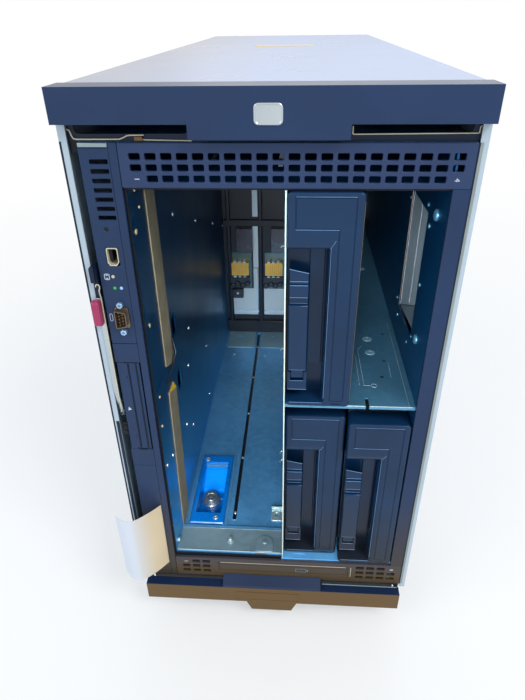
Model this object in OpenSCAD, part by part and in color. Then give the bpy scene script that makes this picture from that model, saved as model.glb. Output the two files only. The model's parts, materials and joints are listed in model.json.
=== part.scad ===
/* [Tower] */
// Height of the chassis deck above the floor
ground_h = 58; // [54:1:80]
// Thickness of each side panel, pan folded
side_t = 5.5; // [4:0.5:10]
// Channel between the left side panel and the chassis, which holds the release lever
channel_w = 6.2; // [5.5:0.1:12]
// Height of the cap above the chassis
cap_rise = 35; // [30:1:50]
// How far the cap and the base bezel stand in front of the chassis
cap_out = 10; // [8:1:16]
// Depth of the plastic cap from its face to the seam with the top cover
cap_d = 25; // [20:1:40]
// Wall of the plastic mouldings
plastic_t = 2.5; // [1.5:0.1:3.5]
// Sheet steel of the covers, plates and skins
sheet = 1.2; // [0.8:0.1:2]

/* [Chassis] */
// Depth of the chassis
chassis_d = 785; // [740:5:840]
// Width of the strip that holds the management module and the display
strip_w = 21; // [20:0.5:26]
// Width of the post beside the strip
post_w = 6; // [5:0.5:10]
// Width of the right upright
flange_w = 12; // [11:0.5:20]
// Thickness of the bay's left and right walls
wall_t = 1.5; // [1:0.1:2.5]
// Depth of the front strips and uprights
face_t = 3; // [2:0.5:5]
// Height of the lower strip, with the disc drive
lower_strip_h = 28; // [26:1:36]
// Height of the upper vent strip
upper_strip_h = 30; // [27:1:40]

/* [Bays] */
// Number of bay columns
columns = 4; // [4:1:4]
// Width of one bay
bay_pitch = 56; // [52:1:62]
// Height of one half-height bay
bay_h = 184; // [178:1:200]
// Depth of the bays, from the front strips to the midplane
bay_d = 481; // [440:1:520]
// Thickness of the bay floor
floor_t = 2; // [1:0.5:3]
// Clear height between the lower bays and the shelf
gap_h = 14.5; // [10:0.5:20]
// Height of the shelf's folded front edge
shelf_t = 3; // [2:0.5:5]
// Thickness of the bay ceiling
ceiling_t = 1.5; // [1:0.1:3]

/* [Vents] */
// Distance between vent columns
vent_pitch = 10.8; // [10:0.1:12]
// Vent columns in the upper strip
vent_columns = 21; // [15:1:21]
// Width of a vent
vent_w = 7.8; // [6:0.1:8.6]
// Height of a vent
vent_h = 4.6; // [3:0.1:5.2]
// Distance between vent rows
vent_row = 7.4; // [6.6:0.1:8]

/* [Rack ears] */
// Height of the folded ears above and below the chassis
ear_h = 18; // [16:1:22]
// Distance from the middle to the inner end of each ear slot
slot_inner = 53; // [48:1:60]
// Metal left between an ear slot and the ear's end
ear_web = 4.2; // [3:0.1:8]
// Width of an ear slot
slot_w = 8; // [6:0.5:9]

/* [Blade blanks] */
// Depth of a blank behind its face
blank_d = 150; // [100:5:200]
// How far the blank of the middle lower bay stands back
setback = 10; // [0:1:30]
// Depth of the lever's recess
recess_d = 16; // [15:0.5:22]
// Diameter of the lever's pivot pin
lever_pin_d = 3; // [2:0.1:4]

/* [Management module] */
// Height of the module
module_h = 156; // [150:1:160]
// Depth of the module
module_d = 260; // [200:5:300]
// Height of the pull-out display
display_h = 95; // [85:1:100]
// Depth of the pull-out display
display_d = 132; // [120:1:150]
// Length of the release lever from its pivot
lever_l = 144; // [120:1:150]

/* [Disc drive] */
// Width of the drive
drive_w = 136; // [128:1:140]
// Height of the drive
drive_h = 12.7; // [12:0.1:14]
// Depth of the drive
drive_d = 127; // [120:1:140]

/* [Rear] */
// Width of one power supply bay
supply_pitch = 85.5; // [82:0.5:86]
// Height of one power supply
supply_h = 52; // [48:1:54]
// Depth of a power supply
supply_d = 260; // [200:5:280]
// Height of the power supply zone
supply_zone_h = 116; // [114:1:122]
// Height of one interconnect bay
link_h = 34; // [30:1:34]
// Size of a fan module
fan_s = 82; // [78:1:84]
// Depth of a fan module
fan_d = 76; // [60:1:90]
// Radius of a fan's duct
duct_r = 37; // [34:0.5:38]

/* [Casters] */
// Diameter of a wheel
wheel_d = 36; // [30:1:38]
// Width of a wheel
wheel_w = 18; // [14:1:22]
// Swivel offset of the front casters
trail = 14; // [10:1:18]
// Diameter of the axles
axle_d = 6; // [5:0.5:8]

/* [Fits] */
// Clearance between pieces that slide or seat
fit = 0.3; // [0.3:0.05:0.6]
// Radial clearance of pins and shafts in their bores
pin_fit = 0.05; // [0.03:0.01:0.08]

/* [Hidden] */
$fn = 48;

// Widths, measured from the middle of the tower
bays_w = columns * bay_pitch;
chassis_w = strip_w + post_w + wall_t + bays_w + flange_w;
tower_w = chassis_w + channel_w + 2 * side_t + fit;
half_w = tower_w / 2;
skin_r = half_w - side_t - fit;
skin_l = skin_r - chassis_w;
post_l = skin_l + strip_w;
strip_l = post_l + post_w;
bay_r = skin_r - flange_w;
bay_l = bay_r - bays_w;
function column_x(i) = bay_l + i * bay_pitch;

// Rack ears
ear_x = skin_r;
slot_l = ear_x - ear_web - slot_inner;
slot_x = slot_inner + slot_l / 2;

// Heights, measured from the chassis deck
floor_z = lower_strip_h + floor_t;
lower_top = floor_z + bay_h;
shelf_z = lower_top + gap_h + shelf_t;
ceiling_z = shelf_z + bay_h;
upper_z = ceiling_z + ceiling_t;
chassis_h = upper_z + upper_strip_h;
cap_z = chassis_h + cap_rise;
notch_z = chassis_h + 12.8;
side_top = notch_z - fit;
side_bottom = -4;
function row_z(row) = row == 0 ? floor_z : shelf_z;

// Depths, measured back from the front strips
front_y = -chassis_d / 2;
back = face_t + fit;
midplane_y = back + bay_d;
seam_y = cap_d - cap_out;
rear_y = chassis_d - wall_t;

// Rear zones
supply_z = sheet;
link_z = supply_zone_h + 5;
link_zone_h = 4 * link_h + 5;
fan_z = link_z + link_zone_h;
supply_l = skin_l + wall_t;
link_w = 200;
function supply_x(i) = supply_l + i * supply_pitch;
function fan_x(i) = supply_l + supply_pitch * (i + 0.5);
function fan_row_z(row) = fan_z + (chassis_h - sheet - fan_z) * (row * 2 + 1) / 4;
hub_r = 18;
shaft_r = 2;

// Casters
caster_x = half_w - 46;
caster_front_y = 62;
caster_rear_y = chassis_d - 60;
axle_z = wheel_d / 2 - ground_h;
tray_z = -12;
plate_t = 2;
head_t = 1.5;
stem_r = 4;
fork_z = tray_z - plate_t - fit;
leg_t = 2;
leg_x = wheel_w / 2 + fit;

module framed() {
    translate([0, front_y, ground_h]) children();
}

module block(a, b) {
    translate(a) cube(b - a);
}

// A bar along X
module rod_x(r, x0, x1) {
    translate([x0, 0, 0]) rotate([0, 90, 0]) cylinder(r = r, h = x1 - x0);
}

// A bar along Y
module rod_y(r, y0, y1) {
    translate([0, y0, 0]) rotate([-90, 0, 0]) cylinder(r = r, h = y1 - y0);
}

// An outline in Y and Z, pushed from x0 to x1
module profile_x(x0, x1) {
    translate([x0, 0, 0]) rotate([90, 0, 90]) linear_extrude(x1 - x0) children();
}

// An outline in X and Z, pushed from y0 to y1
module profile_y(y0, y1) {
    translate([0, y1, 0]) rotate([90, 0, 0]) linear_extrude(y1 - y0) children();
}

// A slot outline with round ends, centred
module slot(l, w) {
    square([l - w, w], center = true);
    for (s = [-1, 1])
        translate([s * (l - w) / 2, 0]) circle(d = w);
}

// ---------- Tower skins ----------

cover_x = half_w - 3;

module top_cover() color("lavender") framed() difference() {
    block([-cover_x, seam_y, notch_z], [cover_x, chassis_d, cap_z - 0.5]);
    block([-cover_x + sheet, seam_y - 1, notch_z - 1],
        [cover_x - sheet, chassis_d - sheet, cap_z - 0.5 - sheet]);
}

step_x = 52;
cap_drop = 3.4;

module top_bezel() color("#2d3f5c") framed() difference() {
    block([-half_w, -cap_out, chassis_h + cap_drop], [half_w, seam_y - fit, cap_z]);
    block([-half_w + plastic_t, -cap_out + plastic_t, chassis_h + cap_drop - 1],
        [half_w - plastic_t, seam_y + 1, cap_z - plastic_t]);
    for (s = [-1, 1])
        translate([s * (step_x + half_w), 0, 0])
            block([-half_w, -cap_out - 1, chassis_h], [half_w, seam_y + 1, notch_z]);
    block([-half_w - 1, 0, chassis_h], [half_w + 1, seam_y + 1, notch_z]);
}

badge_w = 18.5;
badge_h = 13;

module badge_plate() color("silver") framed()
    translate([0, -cap_out - 1, chassis_h + 19])
        block([-badge_w / 2, 0, -badge_h / 2], [badge_w / 2, 1, badge_h / 2]);

// A folded side pan on the right side
module side_pan() difference() {
    block([half_w - side_t, 0, side_bottom], [half_w, chassis_d, side_top]);
    block([half_w - side_t - 1, sheet, side_bottom + sheet],
        [half_w - sheet, chassis_d - sheet, side_top - sheet]);
}

module side_panel_left() color("lightsteelblue") framed() mirror([1, 0, 0]) side_pan();

module side_panel_right() color("lightsteelblue") framed() side_pan();

// ---------- Base ----------

rail_w = 24;
rail_x = half_w - 70;
tray_y = back + 8;

module base_tray() color("slategray") framed() {
    block([-half_w + side_t + fit, tray_y, tray_z], [skin_r, chassis_d - 2, tray_z + sheet]);
    for (s = [-1, 1])
        translate([s * rail_x, 0, 0]) difference() {
            block([-rail_w / 2, tray_y, tray_z], [rail_w / 2, chassis_d - 6, 0]);
            block([-rail_w / 2 + sheet, tray_y - 1, tray_z + sheet],
                [rail_w / 2 - sheet, chassis_d, -sheet]);
        }
}

base_x = half_w - 6;
base_bottom = -28;
base_top = -2;
tab_bottom = -41;
tab_w = 55;
notch_drop = 5;
arm_w = 6;

module base_bezel() color("#3b3227") framed() {
    difference() {
        profile_x(-base_x, base_x)
            polygon([[-cap_out, base_bottom], [-cap_out, base_top], [-fit, 4.5], [-fit, base_bottom]]);
        block([-base_x + plastic_t, -cap_out + plastic_t, base_bottom - 1],
            [base_x - plastic_t, 1, -plastic_t - notch_drop]);
        for (s = [-1, 1])
            translate([s * (step_x + half_w), 0, 0])
                block([-half_w, -cap_out - 1, -notch_drop], [half_w, 1, 6]);
    }
    profile_y(-cap_out, -cap_out + plastic_t)
        polygon([[-tab_w / 2, base_bottom + 1], [tab_w / 2, base_bottom + 1],
            [tab_w / 2 - 6, tab_bottom], [-tab_w / 2 + 6, tab_bottom]]);
    for (s = [-1, 1])
        translate([s * (base_x - arm_w / 2 - plastic_t), 0, 0])
            block([-arm_w / 2, -cap_out + 1, base_bottom + 4],
                [arm_w / 2, back, tray_z - fit]);
}

// One caster plate under the tray
module caster_plate() {
    block([-24, -22, tray_z - plate_t], [24, 22, tray_z]);
}

// Two legs and the axle of a caster, with its wheel behind the swivel by off
module caster_legs(top, off) {
    for (s = [-1, 1])
        profile_x(s * (leg_x + leg_t / 2) - leg_t / 2, s * (leg_x + leg_t / 2) + leg_t / 2)
            polygon([[-9, top], [9 + off, top], [off + 7, axle_z - 6], [off - 7, axle_z - 6]]);
    translate([0, off, axle_z]) rod_x(axle_d / 2, -leg_x - leg_t / 2, leg_x + leg_t / 2);
}

module caster_mounts() color("silver") framed() {
    for (s = [-1, 1]) {
        translate([s * caster_x, caster_front_y, 0]) {
            caster_plate();
            translate([0, 0, fork_z - plate_t - fit - head_t])
                cylinder(r = stem_r + 2, h = head_t);
            translate([0, 0, fork_z - plate_t - fit - head_t])
                cylinder(r = stem_r, h = -(fork_z - plate_t - fit - head_t) + tray_z - 1);
        }
        translate([s * caster_x, caster_rear_y, 0]) {
            caster_plate();
            caster_legs(tray_z - plate_t, 0);
        }
    }
}

module caster_fork(s) framed() translate([s * caster_x, caster_front_y, 0]) {
    difference() {
        block([-leg_x - leg_t, -10, fork_z - plate_t], [leg_x + leg_t, 10 + trail, fork_z]);
        translate([0, 0, fork_z - plate_t - 1])
            cylinder(r = stem_r + pin_fit, h = plate_t + 2);
    }
    caster_legs(fork_z - 1, trail);
}

module caster_fork_left() color("silver") caster_fork(-1);

module caster_fork_right() color("silver") caster_fork(1);

module wheel(x, y) framed() translate([x, y, axle_z]) rotate([0, 90, 0])
    rotate_extrude() difference() {
        polygon([[axle_d / 2 + pin_fit, -wheel_w / 2], [wheel_d / 2 - 2, -wheel_w / 2],
            [wheel_d / 2, -wheel_w / 2 + 3], [wheel_d / 2, wheel_w / 2 - 3],
            [wheel_d / 2 - 2, wheel_w / 2], [axle_d / 2 + pin_fit, wheel_w / 2]]);
        for (s = [-1, 1])
            translate([axle_d / 2 + 3, s * wheel_w / 2 - 2])
                square([wheel_d / 2 - axle_d / 2 - 8, 4]);
    }

module wheel_front_left() color("dimgray") wheel(-caster_x, caster_front_y + trail);

module wheel_front_right() color("dimgray") wheel(caster_x, caster_front_y + trail);

module wheel_rear_left() color("dimgray") wheel(-caster_x, caster_rear_y);

module wheel_rear_right() color("dimgray") wheel(caster_x, caster_rear_y);

// ---------- Chassis ----------

// The slots of one rack ear, with their middle at height z
module ear_slots(z) translate([0, 0, z]) profile_y(back - 1, back + sheet + 1)
    for (s = [-1, 1])
        translate([s * slot_x, 0]) slot(slot_l, slot_w);

ear_slot_z = 9;

module chassis_roof() color("lightsteelblue") framed() {
    difference() {
        union() {
            block([skin_l, back, chassis_h - sheet], [skin_r, chassis_d, chassis_h]);
            block([-ear_x, back, chassis_h - sheet], [ear_x, back + sheet, chassis_h + ear_h]);
        }
        ear_slots(chassis_h + ear_slot_z);
    }
    difference() {
        block([bay_l, back, ceiling_z], [bay_r, midplane_y, upper_z]);
        for (i = [1 : columns - 1])
            block([column_x(i) - 8, back + 60, ceiling_z - 1],
                [column_x(i) - 4, midplane_y - 41, upper_z + 1]);
    }
}

module chassis_floor() color("lightsteelblue") framed() difference() {
    union() {
        block([skin_l, back, 0], [skin_r, chassis_d, sheet]);
        block([-ear_x, back, -ear_h], [ear_x, back + sheet, sheet]);
    }
    ear_slots(-ear_slot_z);
}

module chassis_skins() color("lightsteelblue") framed() {
    window_plate();
    block([skin_l, back, sheet], [skin_l + sheet, chassis_d, chassis_h - sheet]);
    block([skin_r - sheet, back, sheet], [skin_r, chassis_d, chassis_h - sheet]);
}

module bay_wall_left() color("steelblue") framed() difference() {
    block([bay_l - wall_t, back, sheet], [bay_l, midplane_y, chassis_h - sheet]);
    for (z = [lower_top - 34, shelf_z + 13.5])
        block([bay_l - wall_t - 1, back + 84, z], [bay_l + 1, back + 100, z + 22]);
}

window_y = back + 57;
window_l = 67;
window_z = shelf_z + 35.5;
window_h = 115;
plate_lap = 6;

// The plate behind the right wall's window, with its lower edge cut at a slant
module window_plate() translate([0, window_y, window_z])
    profile_x(bay_r + wall_t, bay_r + wall_t + 1)
        polygon([[-plate_lap, 34], [window_l + plate_lap, -3],
            [window_l + plate_lap, window_h + plate_lap], [-plate_lap, window_h + plate_lap]]);

module bay_wall_right() color("steelblue") framed() difference() {
    block([bay_r, back, sheet], [bay_r + wall_t, midplane_y, chassis_h - sheet]);
    translate([0, window_y, window_z])
        block([bay_r - 1, 0, 0], [bay_r + wall_t + 1, window_l, window_h]);
}

sill_h = 3.5;
sill_l = 36;
guide_w = 4;

module bay_floor() color("steelblue") framed() difference() {
    union() {
        block([bay_l, back, lower_strip_h], [bay_r, midplane_y, floor_z]);
        block([bay_l, back + 2, lower_strip_h], [column_x(2) - 1, back + sill_l, floor_z + sill_h]);
    }
    for (x = [column_x(1) + 27, column_x(1) + 68])
        block([x, back + 1, floor_z - 0.5], [x + 12, back + 6, floor_z + sill_h + 1]);
    block([column_x(1) - guide_w / 2, back + 49, lower_strip_h - 1],
        [column_x(1) + guide_w / 2, midplane_y - 8, floor_z + 1]);
    cup(sheet + fit);
}

module front_uprights() color("#2d3f5c") framed() {
    block([bay_r, 0, lower_strip_h], [skin_r, face_t, upper_z]);
    block([post_l, 0, 0], [strip_l - fit, face_t, chassis_h]);
    block([bay_r, 0, lower_strip_h], [bay_r + 1.5, back, upper_z]);
}

vent_left = strip_l + 11;
vent_top = upper_strip_h - 9;

// Vents of the upper strip; the lowest row leaves both corners plain
module upper_vents() for (i = [0 : vent_columns - 1], r = [0 : 2])
    if (r < 2 || (i > 0 && i < vent_columns - 1))
        translate([vent_left + i * vent_pitch, 0, upper_z + vent_top - r * vent_row])
            block([-vent_w / 2, -1, -vent_h / 2], [vent_w / 2, face_t + 1, vent_h / 2]);

module upper_vent_strip() color("#32384f") framed() difference() {
    block([strip_l, 0, upper_z], [skin_r, face_t, chassis_h]);
    upper_vents();
}

drive_x = strip_l + 114;
drive_z = 9;

// A small group of vents in the lower strip, with one plain corner
module vent_group(x, cols, plain) for (i = [0 : cols - 1], r = [0 : 2])
    if (r > 0 || i != plain)
        translate([x + i * vent_pitch, 0, lower_strip_h - 6 - r * vent_row])
            block([-vent_w / 2, -1, -vent_h / 2], [vent_w / 2, face_t + 1, vent_h / 2]);

module lower_vent_strip() color("#32384f") framed() difference() {
    block([strip_l, 0, 0], [skin_r, face_t, lower_strip_h]);
    vent_group(vent_left, 3, 0);
    vent_group(vent_left + (vent_columns - 4) * vent_pitch, 4, 3);
    block([drive_x - drive_w / 2 - fit, -1, drive_z - fit],
        [drive_x + drive_w / 2 + fit, face_t + 1, drive_z + drive_h + fit]);
}

// ---------- Bays ----------

board_x = 11;
board_w = 33.5;
slit_x = 47.5;
slit_w = 8.5;

module midplane_frame() color("slategray") framed() difference() {
    block([bay_l, midplane_y, lower_strip_h], [bay_r, midplane_y + wall_t, chassis_h - sheet]);
    for (i = [0 : columns - 1]) {
        block([column_x(i) + slit_x, midplane_y - 1, floor_z + 84],
            [column_x(i) + slit_x + slit_w, midplane_y + 3, shelf_z - 4]);
        block([column_x(i) + slit_x, midplane_y - 1, shelf_z + 8],
            [column_x(i) + slit_x + slit_w, midplane_y + 3, shelf_z + 110]);
        block([column_x(i) + 9, midplane_y - 1, floor_z + 33],
            [column_x(i) + slit_x + slit_w, midplane_y + 3, floor_z + 84]);
    }
}

module midplane_boards() color("seagreen") framed()
    for (i = [0 : columns - 1], row = [0, 1])
        translate([column_x(i) + board_x, midplane_y - 2, row_z(row) + 86])
            block([0, 0, 0], [board_w, 2, bay_h - 120]);

module bay_connectors() color("#b8862b") framed()
    for (i = [0 : columns - 1], row = [0, 1])
        translate([column_x(i) + board_x, midplane_y - 2, row_z(row)]) {
            difference() {
                block([2, -14, 110], [31, 0, 138]);
                block([4, -15, 114], [29, -4, 134]);
            }
            block([2, -18, 154], [31, 2, row == 0 ? 192 : bay_h - 2]);
        }

module bay_divider() color("lightsteelblue") framed() {
    block([column_x(2) - sheet / 2, back, floor_z], [column_x(2) + sheet / 2, midplane_y, ceiling_z]);
}

module mid_shelf() color("steelblue") framed() difference() {
    union() {
        block([column_x(2) + sheet / 2, back, shelf_z - sheet], [bay_r, midplane_y, shelf_z]);
        block([column_x(2) + sheet / 2, back, shelf_z - shelf_t], [bay_r, back + sheet, shelf_z]);
    }
    block([column_x(3) + 14, back - 1, shelf_z - shelf_t - 1],
        [column_x(3) + 17, back + 12, shelf_z + 1]);
}

house_x0 = bay_l + 6;
house_x1 = bay_l + 45;
house_y0 = 43;
house_y1 = 153;
rim_w = 5;
cup_y0 = house_y0 + 16;
cup_y1 = house_y1 - 16;
cup_z = floor_z - 14;
knob_x = bay_l + 24;
knob_y = 90;
knob_r = 10.5;
knob_stem_r = 3;

// The cup of the latch, from its rim down to the floor it needs, grown by g
module cup(g) profile_x(house_x0 + rim_w - g, house_x1 - rim_w + g)
    polygon([[cup_y0 - g, floor_z + 5], [cup_y0 - g, cup_z - g], [cup_y1 - 27, cup_z - g],
        [cup_y1 + g, floor_z - 1], [cup_y1 + g, floor_z + 5]]);

module latch_housing() color("dodgerblue") framed() difference() {
    union() {
        block([house_x0, house_y0, floor_z], [house_x1, house_y1, floor_z + 3]);
        intersection() {
            cup(sheet);
            block([house_x0, house_y0, cup_z - sheet], [house_x1, house_y1, floor_z + 1]);
        }
    }
    cup(0);
    translate([knob_x, knob_y, cup_z - 3]) cylinder(r = knob_stem_r + pin_fit, h = 6);
}

module latch_knob() color("silver") framed()
    translate([knob_x, knob_y, cup_z + fit]) {
        difference() {
            union() {
                cylinder(r = knob_r, h = 3);
                cylinder(r = knob_r - 3, h = 10);
                translate([0, 0, -4]) cylinder(r = knob_stem_r, h = 5);
                translate([0, 0, -4]) cylinder(r = knob_stem_r + 1.5, h = 1.5);
            }
            block([-1, -knob_r, 8.5], [1, knob_r, 11]);
        }
    }

gasket_w = 27;
gasket_y = back + 42.5;
gasket_t = 2;

module gasket_strip() color("tan") framed() {
    block([bay_l, gasket_y, floor_z + fit], [bay_l + gasket_t, gasket_y + gasket_w, floor_z + 172]);
    block([bay_l, gasket_y, floor_z + 200],
        [bay_l + gasket_t, gasket_y + gasket_w, ceiling_z - fit]);
}

rivet_r = 3.2;
rivet_h = 1.4;
wall_step = (ceiling_z - floor_z) / 6;

module chassis_fasteners() color("silver") framed() {
    for (i = [0 : 5], side = [0, 1])
        translate([bay_l, back + 26 + side * bay_d * 0.4, floor_z + (i + 0.5 + side / 4) * wall_step])
            rod_x(rivet_r, 0, rivet_h);
    for (i = [0 : 3])
        translate([bay_r, back + 34, shelf_z + (i + 0.5) * bay_h / 4]) rod_x(rivet_r, -rivet_h, 0);
    for (x = [column_x(1) - 0.5, column_x(2) - 19.5])
        translate([x, back + 15.5, floor_z + sill_h]) cylinder(r = rivet_r, h = rivet_h);
    for (y = [back + 88, back + 114])
        translate([column_x(3) + 26, y, shelf_z]) cylinder(r = rivet_r, h = rivet_h);
    lever_pin();
}

// ---------- Management strip ----------

module_z = chassis_h - module_h;
display_z = module_z - 18 - display_h;
cover_z = display_z - 20;

module strip_covers() color("#2d3f5c") framed() {
    block([skin_l, 0, display_z + display_h], [post_l - fit, face_t, module_z - fit]);
    block([skin_l, 0, cover_z], [post_l - fit, face_t, display_z]);
    block([skin_l, 0, 0], [post_l - fit, face_t - 0.5, cover_z - fit]);
}

port_z = module_z + 75;
serial_z = port_z - 51;
port_x = skin_l + 12.3;
sled_l = skin_l + sheet + fit;

module tray_shell() difference() {
    block([sled_l, face_t, module_z + 1], [post_l - 2 * fit, module_d, chassis_h - 4.4]);
    block([sled_l + sheet, face_t - 1, module_z + 1 + sheet],
        [post_l - 2 * fit - sheet, module_d + 1, chassis_h - 4.4 - sheet]);
}

// Places of the three lights: across the strip and below the port
light_places = [[10, -16], [10, -25.5], [15.1, -25.5]];
light_r = 1.3;
reset_r = 1.6;
reset_x = skin_l + 10.8;
reset_z = port_z + 21;

module module_case() color("#2d3f5c") framed() {
    difference() {
        block([skin_l, 0, module_z], [post_l - fit, face_t, chassis_h - 3.4]);
        for (i = [0 : 6])
            block([skin_l + 6.5, -1, chassis_h - 14 - i * 6.5],
                [skin_l + 19.4, face_t - 0.8, chassis_h - 10.8 - i * 6.5]);
        block([port_x - 4.8, -1, port_z - 7.3], [port_x + 4.8, face_t + 1, port_z + 7.3]);
        block([port_x - 5.6, -1, serial_z - 9.1], [port_x + 5.6, face_t + 1, serial_z + 9.1]);
        translate([reset_x, 0, reset_z]) rod_y(reset_r + pin_fit, -1, face_t + 1);
        for (p = light_places)
            translate([skin_l + p[0], 0, port_z + p[1]]) rod_y(light_r, -1, face_t + 1);
    }
    tray_shell();
}

module module_ports() color("silver") framed() {
    difference() {
        block([port_x - 4.7, 0.4, port_z - 7.2], [port_x + 4.7, 15, port_z + 7.2]);
        block([port_x - 3.6, -1, port_z - 6.1], [port_x + 3.6, 14, port_z + 6.1]);
    }
    block([port_x - 3, 3, port_z - 5], [port_x - 1, 14.5, port_z + 5]);
    difference() {
        block([port_x - 5.5, -5, serial_z - 9], [port_x + 5.5, 12, serial_z + 9]);
        block([port_x - 4.4, -6, serial_z - 7.9], [port_x + 4.4, 11, serial_z + 7.9]);
    }
    for (i = [0 : 8])
        translate([port_x + (i < 5 ? -1.4 : 1.4), 0, serial_z + (i < 5 ? 5.5 : 17.85) - 2.75 * i])
            rod_y(0.5, -3.5, 11.5);
    for (s = [-1, 1])
        translate([port_x, 0, serial_z + s * 12]) rod_y(2.4, -4, 0);
}

module status_lights() color("limegreen") framed()
    for (p = light_places)
        translate([skin_l + p[0], 0, port_z + p[1]]) rod_y(light_r, -0.5, face_t);

module reset_button() color("#20242c") framed()
    translate([reset_x, 0, reset_z]) rod_y(reset_r, 0.6, face_t + 3);

lever_x = skin_l - channel_w / 2;
lever_y = 10;
lever_z = display_z + 37;
lever_t = 1.5;
lever_pin_r = 2;
grip_h = 22;
grip_z = lever_z + 94;

// The pin that the release lever turns on, with its head
module lever_pin() translate([0, lever_y, lever_z]) {
    rod_x(lever_pin_r, lever_x - lever_t / 2 - fit - 1, skin_l);
    rod_x(lever_pin_r + 1.5, lever_x - lever_t / 2 - fit - 1, lever_x - lever_t / 2 - fit);
}

module release_lever() color("gainsboro") framed() difference() {
    union() {
        translate([0, lever_y, lever_z]) rod_x(5, lever_x - lever_t / 2, lever_x + lever_t / 2);
        profile_x(lever_x - lever_t / 2, lever_x + lever_t / 2)
            polygon([[lever_y - 5, lever_z], [lever_y + 4, lever_z], [5, lever_z + 30],
                [5, lever_z + lever_l], [-6, lever_z + lever_l], [-6, lever_z + lever_l - 12],
                [-3, lever_z + lever_l - 12], [-3, lever_z + lever_l - 3],
                [-1, lever_z + lever_l - 3], [-1, lever_z + 30]]);
    }
    translate([0, lever_y, lever_z])
        rod_x(lever_pin_r + pin_fit, lever_x - lever_t, lever_x + lever_t);
}

module lever_grip() color("#8f2048") framed() difference() {
    block([lever_x - 2.4, -7, grip_z], [lever_x + 2.4, 6, grip_z + grip_h]);
    block([lever_x - lever_t / 2, -1, grip_z - 1], [lever_x + lever_t / 2, 5, grip_z + grip_h + 1]);
}

sled_r = post_l - 1.5;
screen_t = 2;

module display_sled() color("#2d3f5c") framed() difference() {
    union() {
        block([sled_l, face_t, display_z + fit], [sled_r, display_d, display_z + display_h - fit]);
        block([skin_l + 1, 0, display_z + fit],
            [skin_l + 7.2, face_t, display_z + display_h - fit]);
        block([skin_l + 8, 0.6, display_z + fit],
            [sled_r, face_t, display_z + display_h - fit]);
    }
    block([sled_r - screen_t, 20, display_z + 12], [sled_r + 1, display_d - 22, display_z + display_h - 12]);
    block([skin_l + 7.2, -1, display_z], [skin_l + 8, 2, display_z + display_h]);
}

module display_screen() color("#1b2a33") framed()
    block([sled_r - screen_t, 20, display_z + 12], [sled_r - 0.5, display_d - 22, display_z + display_h - 12]);

// A sheet of card that curls forward and outward from the post
tag_h = 86;
tag_t = 0.5;
tag_z = 20;
tag_bend = [for (i = [0 : 10]) [-i * 4.2, -0.26 * i * i]];

module info_tag() color("cornsilk") framed()
    translate([post_l - 1, -0.2, tag_z]) linear_extrude(tag_h)
        polygon(concat(tag_bend, [for (i = [10 : -1 : 0]) tag_bend[i] - [0, tag_t]]));

// ---------- Disc drive ----------

tray_t = 8;

drive_in = drive_w / 2 - 3;

module drive_body() color("silver") framed() {
    difference() {
        block([drive_x - drive_in - 1, face_t + 2, drive_z],
            [drive_x + drive_in + 1, face_t + 2 + drive_d, drive_z + drive_h]);
        block([drive_x - drive_in, face_t + 1, drive_z + 1],
            [drive_x + drive_in, face_t + 1 + drive_d, drive_z + drive_h - 1]);
    }
    for (s = [-1, 1])
        translate([drive_x + s * (drive_in - 2), 0, 0])
            block([-3, face_t + 12, sheet], [3, drive_d - 6, drive_z]);
}

button_x = drive_x + 19;
button_w = 10;
button_h = 3.4;

module drive_tray() color("#3a3f52") framed() difference() {
    union() {
        block([drive_x - drive_w / 2, 0, drive_z], [drive_x + drive_w / 2, face_t + 1, drive_z + drive_h]);
        block([drive_x - drive_in + fit, face_t, drive_z + 1 + fit],
            [drive_x + drive_in - fit, drive_d - 4, drive_z + 1 + fit + tray_t]);
    }
    translate([drive_x, drive_d / 2 + 2, drive_z + 4]) cylinder(r = 60, h = drive_h);
    block([button_x - button_w / 2 - fit, -1, drive_z + 3.7],
        [button_x + button_w / 2 + fit, face_t - 0.4, drive_z + 4.3 + button_h]);
}

module eject_button() color("#4a5064") framed()
    block([button_x - button_w / 2, -0.4, drive_z + 4], [button_x + button_w / 2, 1.2, drive_z + 4 + button_h]);

// ---------- Blade blanks ----------

blank_w = bay_pitch - 2;
blank_h = bay_h - 1;
column_u = 31;
recess_low = 4.5;
recess_top = 149;
slope_h = 15;
pivot_y = 9;
pivot_w = 28;
barrel_r = 4;
lever_u0 = 1.5;
lever_u1 = 17;
ear_t = 2.5;
lever_pin_r2 = lever_pin_d / 2;

// The raised outline of a blank's header and column, as points from its lower left corner
header_outline = [[6, blank_h - 29], [35, blank_h - 29], [37, blank_h - 31], [37, 6], [48, 6],
    [48, blank_h - 6], [6, blank_h - 6]];

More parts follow.
